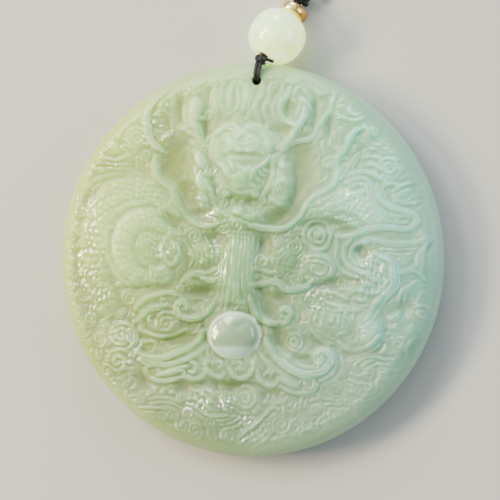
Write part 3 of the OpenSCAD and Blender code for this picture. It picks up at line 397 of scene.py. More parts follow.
# %% the coil, the claw and the clouds on the right
RIGHT = [
    ("ridge", 0.3, 0.45, [(17.2, 8.9), (16.3, 8.2), (15.6, 7.5), (15.2, 6.6)]),
    ("ribbon", 0.45, 0.6, [(17.4, 9.9), (16.2, 9.5), (15.2, 8.9), (14, 8.3), (12.7, 7.8), (11.5, 7.2),
        (10.2, 6.5)]),
    ("ridge", 0.3, 0.45, [(12.9, 9.3), (12, 8.8), (11, 8.2), (10, 7.4)]),
    ("ridge", 0.4, 0.55, [(13.7, 11.4), (14.6, 12.1), (15.8, 12.4), (17.2, 12.6), (18.6, 12.1),
        (19.6, 11.4)]),
    ("ridge", 0.34, 0.5, [(14.3, 10.7), (15.2, 11.3), (16.4, 11.7), (17.4, 11.6), (18, 10.9),
        (17.8, 10.1)]),
    ("ridge", 0.24, 0.4, [(15.1, 10.1), (15.8, 10.7), (16.7, 10.9), (17.2, 10.4)]),
    ("leaf", 0.3, 0.5, [(17.9, 10.1), (18.15, 9.2), (18, 8.2)]),
    ("ridge", 0.3, 0.5, [(11.5, 13.2), (11.5, 13.9), (12, 14.4), (12.8, 14.8)]),
    ("leaf", 0.6, 0.6, [(11.7, 12.9), (12.3, 13.5), (12.7, 14.2)]),
    ("ridge", 0.26, 0.4, [(13.9, 14.2), (14.6, 14.5), (15.2, 14.1), (15.3, 13.3), (14.9, 12.7),
        (14.2, 12.6), (14.1, 13.2), (14.5, 13.6)]),
    ("ridge", 0.26, 0.4, [(15, 12.8), (15.5, 13.8), (16.1, 14.6), (16.9, 15.3)]),
    ("ridge", 0.22, 0.4, [(15.7, 12.9), (16, 13.7), (16.6, 14.5), (17.1, 14.9)]),
    ("ridge", 0.24, 0.4, [(17, 14.3), (18, 14.7), (19, 14.6), (20, 14.2), (21.2, 14.4), (22.3, 14.1)]),
    ("ridge", 0.24, 0.4, [(17, 13.4), (18, 13.6), (18.9, 13.4), (19.5, 12.8)]),
    ("ridge", 0.3, 0.4, [(16.4, 18.2), (17.2, 18.9), (17.7, 18.3), (17.5, 17.4), (18.2, 16.6),
        (19.4, 16.1)]),
    ("ridge", 0.24, 0.4, [(17, 17), (17.4, 16.5), (18.2, 15.9), (19.2, 15.6)]),
    ("cut", 0.16, 0.3, [(14, 18.9), (15.6, 18.9), (17.2, 18.95), (18.6, 19.2), (19.6, 19.5)]),
    ("ridge", 0.24, 0.35, [(13.2, 20.7), (14.4, 20.1), (15.8, 19.8), (17, 20.1), (17.8, 20.8)]),
    ("ridge", 0.26, 0.4, [(13.6, 22.4), (14.6, 22.9), (16, 22.8), (17, 22.2)]),
    ("ridge", 0.3, 0.45, [(9.9, 24.4), (10.6, 25.1), (11.8, 25.3), (12.9, 24.8), (12.8, 24), (11.8, 23.6),
        (10.6, 23.6), (9.9, 24.2)]),
    ("cut", 0.14, 0.3, [(9.6, 22.9), (11, 23.1), (12.2, 23.4), (13, 24), (13.8, 24.3)]),
    ("ridge", 0.3, 0.45, [(11.3, 17), (11.4, 16), (11.6, 15)]),
    ("ridge", 0.24, 0.4, [(12.4, 17.3), (12.5, 16.5), (12.9, 15.9), (13.6, 15.9), (13.9, 16.3)]),
    ("ridge", 0.28, 0.4, [(13.6, 18.8), (13.8, 17.6), (14, 16.6)]),
    ("cut", 0.4, 0.6, [(12.4, 20.2), (12.4, 19), (12.3, 17.9)]),
    ("ribbon", 0.5, 0.6, [(19.3, 10.6), (19.4, 9.4), (19.8, 8.5), (20.6, 7.8), (21.6, 7.3), (22.8, 6.9),
        (23.9, 6.6), (24.7, 5.9), (24.8, 5.1), (24.2, 4.5), (22.8, 4.4), (21, 4.6), (19.2, 4.6),
        (17.6, 4.3), (16.2, 3.7), (14.8, 3.4), (13.4, 3.3)]),
    ("ridge", 0.24, 0.4, [(20.4, 6.9), (21.2, 6.3), (22.4, 6.2), (23.4, 6.1), (23.9, 5.6), (23.4, 5.2),
        (21.8, 5.3), (20.6, 5.5)]),
    ("ridge", 0.2, 0.3, [(20.6, 6.3), (21.4, 5.8), (22.6, 5.7)]),
    ("ridge", 0.26, 0.4, [(20.1, 10.3), (20.9, 10.8), (22, 10.7), (22.8, 10.3)]),
    ("cut", 0.18, 0.4, [(20.2, 9.9), (20.1, 9), (20.8, 8.2), (21.8, 7.8)]),
    ("ridge", 0.3, 0.45, [(21.6, 9.7), (22.6, 10.4), (23.8, 10.9), (24.9, 10.9)]),
    ("ridge", 0.3, 0.4, [(21.8, 8.4), (23, 8), (24.4, 8), (25.4, 8.3)]),
    ("ribbon", 0.5, 0.55, [(26.6, 3.3), (25.4, 2.6), (24.2, 2.3), (22.4, 2.2), (20.8, 2.3), (19.4, 2.7),
        (18, 2.8), (16.6, 2.5)]),
    ("ridge", 0.26, 0.4, [(25, 1.6), (23.4, 1.4), (21.4, 1.4), (19.8, 1.6)]),
    ("ridge", 0.24, 0.35, [(24.4, 0.8), (22.8, 0.7), (21.4, 0.8), (20.4, 0.9)]),
    ("ridge", 0.36, 0.55, [(18.2, 2.3), (17, 2.4), (15.9, 2), (15.4, 1.2), (15.5, 0.3), (16.1, -0.5),
        (17, -0.9), (18, -0.9)]),
    ("ribbon", 0.45, 0.6, [(15.6, 2.9), (14.7, 2.1), (14.4, 1.1), (14.5, 0.1), (15.1, -0.9), (16.1, -1.6),
        (17.2, -1.9), (18.4, -1.8)]),
    ("ridge", 0.34, 0.5, [(13.4, 2.9), (13.4, 1.6), (13.3, 0.4), (13.6, -0.8), (14.3, -1.7), (15.4, -2.3),
        (16.8, -2.6)]),
    ("ridge", 0.3, 0.5, [(12.4, 2.9), (12, 1.9), (11.4, 1.4), (10.4, 1.2), (9.4, 1.4)]),
    ("ribbon", 0.45, 0.6, [(9, 0.5), (10.4, 0.6), (11.7, 0.3), (12.6, -0.5), (12.8, -1.5), (12.3, -2.4),
        (11.2, -2.9), (10, -2.9), (8.8, -2.6)]),
    ("ridge", 0.26, 0.5, [(9.2, -0.3), (10.2, -0.2), (11.2, -0.4), (11.9, -1.1), (11.6, -1.8), (10.8, -2.1),
        (9.9, -1.9), (9.6, -1.3), (10.2, -0.9)]),
    ("ridge", 0.24, 0.5, [(12, 4.9), (12.7, 4.5), (13, 3.8)]),
    ("ribbon", 0.45, 0.8, [(18.6, 1), (19.6, 0.4), (20.8, 0.1), (21.5, -0.7), (21.6, -2), (21.7, -3.1),
        (21.3, -4.1), (20.5, -4.9), (19.7, -5.6), (19.1, -6.3), (18.5, -7.1), (17.9, -8), (17.1, -8.9)]),
    ("ridge", 0.3, 0.55, [(22.3, -4.1), (21.6, -4.8), (20.9, -5.4), (20.3, -6.1)]),
    ("ridge", 0.36, 0.6, [(20.9, -3), (20.2, -3.9), (19.4, -4.6), (18.3, -4.8)]),
    ("leaf", 0.36, 0.6, [(17.4, -2.5), (18.6, -2.6), (19.9, -3)]),
    ("leaf", 0.36, 0.6, [(16.6, -3.4), (17.6, -3.6), (18.6, -3.5)]),
    ("leaf", 0.36, 0.6, [(15.3, -4.6), (16.4, -4.3), (17.6, -4.4)]),
    ("leaf", 0.42, 0.6, [(15.6, -5.6), (16.8, -5.8), (18, -5.7)]),
    ("ridge", 0.34, 0.5, [(25.6, 1.6), (25.2, 0.4), (25.1, -0.7), (24.3, -1.4), (23.2, -1.7),
        (22.2, -1.9)]),
    ("ridge", 0.3, 0.45, [(26.8, 2.9), (26, 1.8), (25.8, 0.6)]),
    ("ridge", 0.28, 0.4, [(24.2, -1.6), (25, -1.8), (25.7, -2.4), (25.9, -3.1)]),
    ("ridge", 0.26, 0.45, [(25, -3), (24, -3.8), (23.1, -4.4), (22.6, -5.3), (22.6, -6.2)]),
    ("leaf", 0.7, 0.5, [(20.8, -8.4), (22, -8.2), (22.9, -7.2)]),
    ("ridge", 0.26, 0.4, [(10.9, -5.6), (12, -6.2), (13.4, -6.6), (15.2, -6.8), (17.2, -6.7), (18, -6.5)]),
    ("ridge", 0.3, 0.5, [(12.9, -7.4), (14, -7.2), (15.6, -7.3), (17.2, -7.1)]),
    ("ridge", 0.3, 0.5, [(11.6, -4.7), (12.8, -4.8), (14, -5.2), (15, -5.8)]),
    ("leaf", 0.3, 0.55, [(10.4, -7.4), (10.3, -8.2), (10, -9)]),
    ("leaf", 0.34, 0.55, [(11.5, -7), (11.4, -8), (11.2, -9.2)]),
    ("leaf", 0.34, 0.55, [(12.9, -7.4), (12.7, -8.4), (12.4, -9.4)]),
    ("leaf", 0.3, 0.5, [(13.7, -7.5), (13.7, -8.6), (13.5, -9.6)]),
    ("leaf", 0.3, 0.55, [(14.7, -7), (14.6, -8), (14.6, -9.2)]),
    ("ridge", 0.24, 0.4, [(15.8, -7.6), (15.8, -8.6), (16.1, -9.4)]),
    ("ridge", 0.26, 0.45, [(13.3, -10.8), (14.2, -10.5), (15.2, -10.4)]),
    ("ridge", 0.3, 0.4, [(9.8, -9.8), (10.4, -11), (11.6, -11.8), (12.9, -12.1)]),
    ("ridge", 0.36, 0.5, [(13.6, -11.6), (14.4, -12.6), (15.6, -13), (17.2, -12.8), (18.4, -12.2),
        (19.2, -11.4), (20, -10.8), (21, -10.6)]),
    ("ridge", 0.24, 0.4, [(16.8, -12), (17.1, -11.5), (17.3, -10.8)]),
    ("ridge", 0.24, 0.4, [(16, -15.1), (16.8, -14.4), (17.8, -13.9), (19, -13.9), (20.2, -14.2),
        (21.6, -14.2)]),
    ("ridge", 0.22, 0.35, [(17, -15.3), (17.8, -14.7), (18.8, -14.5)]),
    ("ridge", 0.22, 0.35, [(18.4, -13.2), (19.2, -12.7), (19.9, -12.2)]),
    ("ridge", 0.24, 0.4, [(13.9, -13.6), (14.3, -14.4), (14.5, -15.2)]),
    ("ridge", 0.26, 0.4, [(23.2, -14), (23.3, -12.8), (23.8, -11.7), (24.6, -10.9)]),
    ("cut", 0.16, 0.3, [(23.6, -14.1), (23.8, -12.8), (24.2, -11.8)]),
    ("cut", 0.16, 0.3, [(21.6, -10.7), (22.4, -10.3), (23.3, -10.3), (24.2, -10.7)]),
    ("ridge", 0.22, 0.35, [(15.2, -16.2), (16.4, -16.6), (17.4, -16.4), (18.1, -16.4)]),
    ("ridge", 0.22, 0.35, [(15.1, -17), (15.8, -17.5), (16.8, -17.7), (17.8, -17.7)]),
    ("cut", 0.16, 0.3, [(22.8, -9.2), (24.4, -9.3), (26.2, -9.2)]),
]
print("right:", len(RIGHT))

# %% [markdown]
# The waves and rocks lie furthest back, so theirs are the very first strokes.

# %% the waves and rocks below the scrolls
BELOW = [
    ("cut", 0.3, 0.5, [(-4.2, -17.6), (-4.2, -19.2), (-4.3, -21.4)]),
    ("ridge", 0.26, 0.45, [(-3.6, -18.4), (-3.5, -19.4), (-3.2, -20.6), (-3.2, -21.6)]),
    ("ridge", 0.24, 0.4, [(-8.9, -20.4), (-7.6, -21), (-6.4, -21.8), (-5.2, -22.4), (-4, -22.3),
        (-2.6, -22.3)]),
    ("ridge", 0.2, 0.32, [(-8.6, -19.4), (-7.2, -20), (-6, -20.8), (-5, -21.6)]),
    ("ridge", 0.2, 0.32, [(-8.4, -18.4), (-7, -18.9), (-5.8, -19.6), (-4.8, -20.5)]),
    ("ridge", 0.2, 0.3, [(-7.4, -17.9), (-6.2, -18.3), (-5, -19)]),
    ("ridge", 0.22, 0.36, [(-4.4, -23), (-3.2, -23), (-2.2, -22.7), (-1.4, -22.3)]),
    ("ridge", 0.22, 0.36, [(-4, -23.6), (-2.7, -23.5), (-1.5, -23), (-0.7, -22.5)]),
    ("ridge", 0.2, 0.32, [(-3.2, -24.3), (-1.9, -24), (-1, -23.6), (-0.3, -23)]),
    ("ridge", 0.2, 0.3, [(-2.8, -20.2), (-1.8, -20.6), (-1, -21.2), (0, -21.4)]),
    ("ridge", 0.2, 0.3, [(-2.6, -21), (-1.6, -21.4), (-0.6, -22), (0.4, -22)]),
    ("ridge", 0.2, 0.3, [(-2.4, -19.2), (-1.8, -18.6), (-1, -18.3)]),
    ("ridge", 0.24, 0.45, [(-0.9, -19.2), (-0.4, -18.8), (0.3, -19), (0.6, -19.7), (0.2, -20.4),
        (-0.5, -20.2)]),
    ("ridge", 0.24, 0.4, [(1.2, -18.8), (1.4, -19.8), (1, -20.8), (0.4, -21.4)]),
    ("ridge", 0.32, 0.65, [(-1.1, -25.1), (-0.4, -24.7), (0.7, -24.1), (1.4, -23.5), (2.2, -22.8),
        (2.9, -22.1), (3.5, -21.4), (4.2, -21.1), (4.9, -21.5)]),
    ("leaf", 0.3, 0.5, [(2.6, -20.8), (3, -20), (3.5, -19.2)]),
    ("leaf", 0.28, 0.45, [(4.9, -19.4), (5.4, -19.1), (6, -18.8)]),
    ("ridge", 0.2, 0.35, [(4.1, -20.6), (4.7, -20.5), (5.4, -20.3), (6, -19.9)]),
    ("leaf", 0.24, 0.4, [(6.3, -21.1), (6.6, -20.7), (7.1, -20.3)]),
    ("leaf", 0.24, 0.45, [(8.1, -20.7), (8.15, -20.1), (8.3, -19.5)]),
    ("ridge", 0.2, 0.3, [(9.4, -20.3), (10.6, -19.9), (12, -19.9), (13.4, -20.2)]),
    ("ridge", 0.2, 0.25, [(11.6, -20.8), (12.6, -20.6), (13.8, -20.8)]),
    ("cut", 0.14, 0.2, [(5.4, -23), (6.6, -22.4), (8.2, -22), (10, -21.9)]),
    ("ridge", 0.24, 0.35, [(-14.4, -19.9), (-13, -19.7), (-11.6, -19.8), (-10.2, -20.2), (-9.2, -20.8)]),
    ("ridge", 0.22, 0.32, [(-14.2, -20.6), (-12.8, -20.4), (-11.2, -20.5), (-9.8, -21.1), (-8.8, -21.8)]),
    ("ridge", 0.24, 0.35, [(-16, -21.2), (-14.4, -21.1), (-12.8, -21.2), (-11.2, -21.2), (-9.8, -21.8)]),
    ("ridge", 0.22, 0.3, [(-17.4, -19.6), (-16.6, -19.4), (-15.8, -19.4)]),
    ("ridge", 0.26, 0.4, [(-17.3, -17.3), (-16.6, -17), (-16.1, -17.5), (-16.3, -18.2), (-17, -18.4)]),
    ("ridge", 0.24, 0.35, [(-15.4, -19), (-14.6, -18.6), (-14, -19), (-14.3, -19.6)]),
    ("ridge", 0.24, 0.35, [(-12.6, -18.9), (-12, -18.5), (-11.4, -18.9)]),
    ("ridge", 0.26, 0.4, [(-11.4, -19.1), (-10.7, -18.7), (-10.1, -19.2)]),
    ("cut", 0.3, 0.5, [(-15.3, -16.4), (-14.8, -17.3), (-13.8, -18)]),
]
print("below:", len(BELOW))

# %% [markdown]
# A curl is a spiral that winds inwards, and one with a single turn is a closed ring.

# %% curls
# x, y, radius, turns, where it starts in degrees, hand, half width, rise
CURLS = [
    (-16.1, 17.6, 1.7, 2, 250, -1, 0.26, 0.45), (15.9, 21.5, 1.5, 1.8, 120, -1, 0.26, 0.4),
    (20.8, 13.2, 1.5, 1.8, 200, -1, 0.26, 0.45), (-18.4, -10.8, 2.2, 2.3, 300, 1, 0.3, 0.6),
    (-18.9, -14.6, 2, 1.8, 40, 1, 0.28, 0.5), (-11.8, -9, 1.7, 1.9, 20, 1, 0.26, 0.45),
    (10.5, 3.5, 2, 1, 90, 1, 0.28, 0.6), (10.5, 3.5, 1.1, 1, 90, 1, 0.26, 0.6),
    (25.5, -7.6, 1.3, 1.3, 150, -1, 0.28, 0.45), (23.4, 9.3, 1.1, 1.4, 200, 1, 0.28, 0.4),
    (7.1, -11.8, 1.2, 1, 90, 1, 0.24, 0.5), (7.1, -11.8, 0.6, 1, 90, 1, 0.2, 0.5),
    (0, -19.6, 1.5, 1, 330, -1, 0.24, 0.4), (-12.1, 21.9, 0.9, 1.4, 60, 1, 0.24, 0.5),
    (-3.4, 9.4, 0.9, 1.4, 60, 1, 0.24, 0.5), (1.3, 9.2, 0.8, 1.3, 120, -1, 0.22, 0.5),
    (-9.4, -6.6, 0.9, 1.2, 90, 1, 0.2, 0.3), (-20.6, -16, 1.1, 1.2, 20, 1, 0.22, 0.35),
    (5.4, 13.6, 0.8, 1.2, 100, 1, 0.22, 0.4), (14.1, -3.5, 0.6, 1, 90, 1, 0.22, 0.35),
]
print("curls:", len(CURLS))

# %% [markdown]
# A knob is a small oval dome. The knobs are set on last, over all the strokes.

# %% knobs
# x, y, half width, half height, turn, rise
KNOBS = [
    (-7.5, 21.6, 1.05, 1.7, -8, 0.85), (-9.3, 18.8, 0.75, 0.45, -20, 0.65),
    (-8.4, 19.1, 0.28, 0.34, 0, 0.9), (-8.4, 18.3, 0.24, 0.34, 0, 0.9),
    (-6.2, 16.25, 0.36, 0.3, 0, 0.95), (-5.75, 16.9, 0.26, 0.36, 0, 0.9),
    (-1, 15.72, 0.8, 0.3, -4, 0.6), (0.55, 15.62, 0.85, 0.3, 4, 0.6), (0.7, 17.6, 0.32, 0.36, 0, 0.6),
    (-1.2, 11.3, 1.15, 1.25, 0, 0.4), (-1.35, 7, 1.1, 0.8, -20, 0.9), (-3, 9.3, 0.45, 0.55, 0, 0.8),
    (1.3, 9.2, 0.4, 0.45, 0, 0.6), (5.4, 13.6, 0.8, 0.7, 20, 0.4), (-4.4, 6.35, 0.3, 0.24, 20, 0.6),
    (-5.3, 5.65, 0.32, 0.24, 20, 1.1), (-2.9, 6.1, 0.36, 0.22, 10, 0.6), (1.9, 7.5, 0.3, 0.34, 0, 0.8),
    (2.7, 8.2, 0.3, 0.3, 0, 0.7), (-12.5, 22.1, 0.42, 0.5, 0, 0.6), (-11.7, 22, 0.3, 0.45, 0, 0.6),
    (-13.5, 20.6, 0.32, 0.32, 0, 0.5), (-13, 20.7, 0.3, 0.34, 0, 0.5), (-13.3, 19.6, 0.5, 0.3, 35, 0.5),
    (-12.1, 21.3, 0.3, 0.3, 0, 0.5), (-14.8, 16.5, 0.32, 0.36, 0, 0.6), (-17.3, 16, 0.3, 0.3, 0, 0.5),
    (-15.9, 14.5, 0.32, 0.32, 0, 0.5), (-14.4, 13.4, 0.36, 0.36, 0, 0.5),
    (-19, 13.55, 0.34, 0.3, 0, 0.6), (-21.2, 12.6, 0.42, 0.4, 20, 0.6), (-19.6, 15.7, 1.1, 1, 0, 0.5),
    (-14.1, 10.9, 0.4, 0.5, 20, 0.6), (-21.6, 9, 0.5, 0.42, 10, 0.5), (-22.8, 8.3, 0.4, 0.34, 0, 0.5),
    (-22.4, 7.7, 0.34, 0.4, 0, 0.5), (-23.2, 7.1, 0.4, 0.36, 0, 0.5), (-23.9, 7.2, 0.3, 0.3, 0, 0.4),
    (-22.7, 6.1, 0.4, 0.36, 0, 0.5), (-23.3, 4.9, 0.4, 0.34, 0, 0.5), (-22.6, 4.7, 0.36, 0.5, 0, 0.5),
    (-23.8, 3.9, 0.34, 0.3, 0, 0.4), (-24.7, 3.6, 0.4, 0.4, 0, 0.4), (-25.6, 1.8, 0.5, 0.46, 0, 0.4),
    (-24.8, 1.9, 0.3, 0.5, 0, 0.4), (-22.9, 2.3, 0.3, 0.5, 0, 0.4), (-21.3, 3, 0.34, 0.3, 0, 0.5),
    (-20.9, 1, 0.34, 0.34, 0, 0.6), (-24.2, 0.1, 0.36, 0.42, 0, 0.6), (-23.6, -0.9, 0.4, 0.3, 0, 0.5),
    (-21.9, -2.1, 0.4, 0.3, 20, 0.5), (-21.3, -0.1, 0.3, 0.3, 0, 0.5),
    (-23.4, -3.8, 0.5, 0.45, 20, 0.6), (-25.1, -3.6, 0.32, 0.36, 0, 0.4),
    (-22.4, -4.8, 0.42, 0.6, -15, 0.6), (-25.1, -5.1, 0.32, 0.3, 0, 0.4),
    (-19.7, 4.6, 0.32, 0.32, 0, 0.6), (-17.8, 3, 0.34, 0.4, 0, 0.5), (-18.8, -3.6, 0.36, 0.4, -20, 0.6),
    (-13, 0.4, 0.26, 0.32, 0, 0.5), (-15.7, -2.2, 0.3, 0.5, -30, 0.5), (-11.1, 4.5, 0.3, 0.36, 0, 0.6),
    (-8.3, 0.7, 0.3, 0.3, 0, 0.5), (-12.3, -5.7, 0.36, 0.34, 0, 0.6), (-12.4, -6.5, 0.26, 0.4, 0, 0.5),
    (-16.2, -7.1, 0.32, 0.4, -20, 0.7), (-15.7, -6.4, 0.32, 0.26, 10, 0.7),
    (-16.5, -8, 0.3, 0.3, 0, 0.4), (-15.2, -8.1, 0.4, 0.34, 20, 0.6),
    (-6.4, -2.75, 0.5, 0.36, -10, 0.9), (-19.5, -10.3, 0.36, 0.32, 0, 0.6),
    (-18.2, -11.4, 0.62, 0.42, 0, 0.7), (-19.9, -11.1, 0.3, 0.3, 0, 0.5),
    (-19.2, -12.1, 0.36, 0.26, 0, 0.6), (-20.4, -13.1, 0.36, 0.26, 0, 0.5),
    (-18.5, -13.9, 0.46, 0.26, 10, 0.6), (-18.9, -14.9, 0.4, 0.3, 40, 0.7),
    (-20.5, -14.4, 0.36, 0.3, 20, 0.5), (-21, -15, 0.34, 0.3, 0, 0.4), (-17, -14.7, 0.34, 0.36, 0, 0.6),
    (-17.6, -15.6, 0.44, 0.26, 40, 0.5), (-18.7, -16.3, 0.44, 0.24, 15, 0.4),
    (-14.3, -15.2, 0.4, 0.3, 0, 0.8), (-9.6, -15.9, 0.34, 0.32, 0, 0.8),
    (-8.8, -15.2, 0.5, 0.3, 0, 0.9), (-6.1, -14.9, 0.42, 0.42, 0, 0.9), (-5.7, -14.5, 0.5, 0.5, 0, 0.6),
    (-15.2, -11.6, 0.42, 0.32, 10, 0.5), (-14.4, -19.1, 0.32, 0.4, 0, 0.4),
    (-12.2, -19, 0.34, 0.26, 0, 0.5), (-10.8, -19, 0.36, 0.34, 0, 0.6), (-8.3, -19.8, 0.5, 0.5, 0, 0.7),
    (-8.2, -19, 0.34, 0.26, 0, 0.5), (-6.9, -20.4, 0.46, 0.3, 0, 0.5), (-1, -25.2, 0.36, 0.36, 0, 0.5),
    (-3, -25.2, 0.26, 0.26, 0, 0.3), (1.3, -21.8, 0.34, 0.36, 20, 0.6),
    (2.9, -20.3, 0.34, 0.32, 0, 0.6), (3.3, -19.5, 0.36, 0.32, 20, 0.6), (6, -19.9, 0.32, 0.28, 0, 0.5),
    (6.5, -20.8, 0.3, 0.36, 0, 0.5), (3.4, -16.2, 0.3, 0.3, 0, 0.6), (2.8, -16.5, 0.26, 0.26, 0, 0.9),
    (10.7, -15.3, 0.28, 0.28, 0, 0.9), (12.2, -15.3, 0.3, 0.3, 0, 1.2),
    (10.1, -13.7, 0.26, 0.5, 0, 1.2), (4.75, -7.5, 0.28, 0.42, -20, 1.1),
    (4.9, -8.4, 0.28, 0.28, 0, 0.7), (5, -9.4, 0.3, 0.3, 0, 0.2), (9, -17.6, 0.75, 0.6, 0, 0.5),
    (19, 0.8, 0.42, 0.4, 0, 0.9), (19.2, -0.3, 0.4, 0.34, 20, 0.8), (18.5, -1, 0.34, 0.3, 0, 0.8),
    (18.7, 0.1, 0.3, 0.3, 0, 0.6), (19.1, -1.6, 0.44, 0.3, 20, 0.8), (18.1, -2.1, 0.44, 0.24, 0, 0.7),
    (17.1, -3.1, 0.34, 0.28, 0, 0.8), (17.6, -3.5, 0.4, 0.34, 0, 0.8), (18.8, -3.1, 0.34, 0.32, 0, 0.9),
    (17, -4.4, 0.5, 0.44, 10, 0.9), (15.8, -4.6, 0.4, 0.32, 0, 0.7), (17.9, -4.8, 0.4, 0.3, 10, 0.8),
    (19.2, -4.7, 0.46, 0.4, 30, 0.9), (16.1, -5.6, 0.34, 0.3, 0, 0.7), (14.6, -7.7, 0.3, 0.4, 0, 0.9),
    (14.5, -8.3, 0.28, 0.3, 0, 0.9), (13, -8, 0.26, 0.34, 0, 0.9), (12.2, -8.7, 0.26, 0.26, 0, 0.7),
    (11.4, -7.7, 0.32, 0.36, 0, 0.8), (10.3, -8.2, 0.28, 0.4, -20, 0.9),
    (12.6, -5.4, 0.34, 0.3, 0, 0.5), (13.4, -5.2, 0.4, 0.3, 0, 0.4), (11.6, -4.3, 0.34, 0.34, 0, 0.4),
    (23.4, -5.7, 0.3, 0.3, 0, 0.5), (18.5, -7, 0.34, 0.3, 20, 0.9), (14.9, 8.7, 0.3, 0.26, 0, 0.8),
    (14.7, 13.4, 0.34, 0.34, 0, 0.3), (22.9, 9.2, 1.3, 0.9, 0, 0.25), (7.5, -1, 0.3, 0.3, 0, 0.3),
    (6.3, -0.8, 0.3, 0.26, 0, 0.5), (2.9, -2.7, 0.3, 0.2, 0, 0.3), (11.3, 24.5, 1.2, 0.7, 0, 0.3),
    (-11.5, 17.7, 0.36, 0.6, -30, 0.7), (10.6, 3.6, 0.7, 0.7, 0, 0.7), (-18.8, 1.9, 0.3, 0.3, 0, 0.4),
    (25.6, -0.6, 0.5, 1.4, 0, 0.2),
]
print("knobs:", len(KNOBS))

# %% [markdown]
# Broad swellings and hollows give the face its large forms, before any stroke is laid over them.

# %% broad swellings and hollows
# x, y, half width, half height, turn, rise
SWELLINGS = [
    (-0.5, 15.6, 5.6, 4.8, 0, 1.5), (-0.5, 11.6, 4.6, 3.6, 0, 1.2), (-0.3, 22.6, 5.6, 3.4, 0, 0.6),
    (-7.6, 21, 2, 4, 0, 0.5), (7.2, 20.6, 3.4, 4.4, 0, 0.5), (-6.8, 11.8, 2, 5.4, 8, 0.9),
    (5.2, 10.6, 2, 4.4, -8, 0.9), (-0.8, 6, 6.4, 1.9, 0, 0.8), (-1.6, -1.6, 3.8, 8.2, -4, 1.3),
    (-17.4, 2.6, 9.2, 9.8, 0, 1.1), (-13.6, -6.2, 4, 2.4, 15, 0.5), (17.6, 7.6, 8.4, 6.8, -14, 1),
    (19.6, -2.8, 6.4, 5.2, 0, 0.8), (10.8, -0.8, 3.4, 3, 0, 0.6), (18.3, -10.2, 2.3, 3.6, -8, 1.2),
    (13.4, -8.6, 5.4, 3, 0, 0.6), (-16.6, 17.4, 6, 4.4, 40, 0.6), (16.8, 20, 6, 4.4, -42, 0.6),
    (20.8, 13.4, 4.4, 3.4, -30, 0.6), (-18.6, -12.6, 3.6, 5, 20, 0.8), (9.4, -15.4, 5.8, 4.4, -20, 0.6),
    (-9.8, -15, 6.8, 3.8, 10, 0.6), (-1.4, -15.6, 5.6, 2.4, 0, 0.5), (22.4, -11, 4, 3.4, 0, 0.4),
    (-6.2, 0.8, 2.6, 2.4, 0, 0.6), (4.6, 0.4, 3.4, 3, 0, 0.5), (-10.5, 1.2, 2.4, 3.4, 0, 0.5),
    (-5, -21, 4.4, 3.6, 20, 0.5), (0.2, -20, 2.6, 2.6, 0, 0.3),
]
HOLLOWS = [
    (-10.4, 13.4, 2.4, 4.2, -8, 1.5), (-9, 9.2, 1.7, 3.6, 24, 1.5), (8.2, 13.4, 2, 4.2, 4, 1.5),
    (7.4, 9.4, 1.5, 3.2, -18, 1.3), (-7.4, 6.4, 2.3, 1.2, -14, 1.5), (4.8, 6.1, 2.4, 1.1, 12, 1.4),
    (2.7, 2.2, 1.2, 1.7, 0, 1.4), (-4.6, 3, 1.6, 0.9, 0, 0.8), (-2.2, 8.8, 0.7, 0.6, 0, 0.9),
    (0.4, 8.3, 0.8, 0.6, 0, 1), (-0.8, 8.5, 2, 0.5, 0, 0.5), (-0.2, 14.2, 2.2, 0.9, 0, 0.9),
    (3.2, -6.2, 1.1, 2.7, 28, 1.6), (4.6, -5.6, 2, 0.9, 0, 0.9), (-6.2, -4.6, 2.8, 0.9, 0, 1.5),
    (-7.6, -6, 2, 0.7, 0, 0.6), (-10.8, 5.4, 1.9, 0.9, -30, 1.3), (5.1, -11.4, 1.2, 2.4, 15, 1.5),
    (8.4, -14.2, 1.9, 0.7, 0, 1.1), (9.4, -12, 1.6, 1, -10, 0.6), (16.9, 1.2, 0.9, 0.9, 0, 1.6),
    (13.2, -3.3, 3.8, 0.8, 4, 1.3), (-9.9, -11.3, 2.6, 0.9, 14, 1.4), (-5.8, 18.7, 0.9, 1.8, 0, 1.1),
    (6.2, 21.1, 1, 1.5, 0, 1.5), (5.2, 18.4, 1.5, 1, 0, 0.9), (-9.6, 21.2, 0.9, 2.2, 0, 0.8),
    (-1.8, -18.1, 5.4, 0.8, -3, 1), (-9.4, -18.1, 1.3, 0.9, 0, 0.9), (1, -18.6, 1.2, 0.9, 0, 0.6),
    (11.4, 5, 2.9, 0.8, 0, 1.2), (10, 20.6, 0.8, 2.4, 0, 0.6), (12.3, 18.8, 0.9, 1.8, 0, 0.7),
    (-11.6, 19.4, 1.2, 1.4, 0, 0.5), (-8, -9.4, 2, 0.8, 0, 0.7), (13.9, 4.3, 1.6, 0.6, 0, 0.8),
    (-14.2, -4, 3, 0.7, 0, 0.7), (-15, -17.4, 1.4, 1.4, 0, 0.8), (11, -11.9, 2.6, 0.6, -14, 0.7),
    (16.4, -13.3, 3, 0.7, 10, 0.6), (-13, 18.6, 0.8, 1.6, 0, 0.5), (3.4, -19.2, 2.2, 0.8, 0, 0.8),
    (-2.6, -6.6, 1.6, 0.5, 0, 0.6), (2.2, -9.8, 0.6, 2.2, -6, 0.7), (-6.2, -9.9, 0.5, 2, 8, 0.7),
    (23.6, -6.4, 0.9, 1.4, -30, 0.5),
]
PEARL = (-2.1, -10.75, 3.8, 3.4, 0, 2.2)
print("swellings:", len(SWELLINGS), "hollows:", len(HOLLOWS))

# %% [markdown]
# Some places have scales or fine hair scratched into them all over. Each is an oval patch.

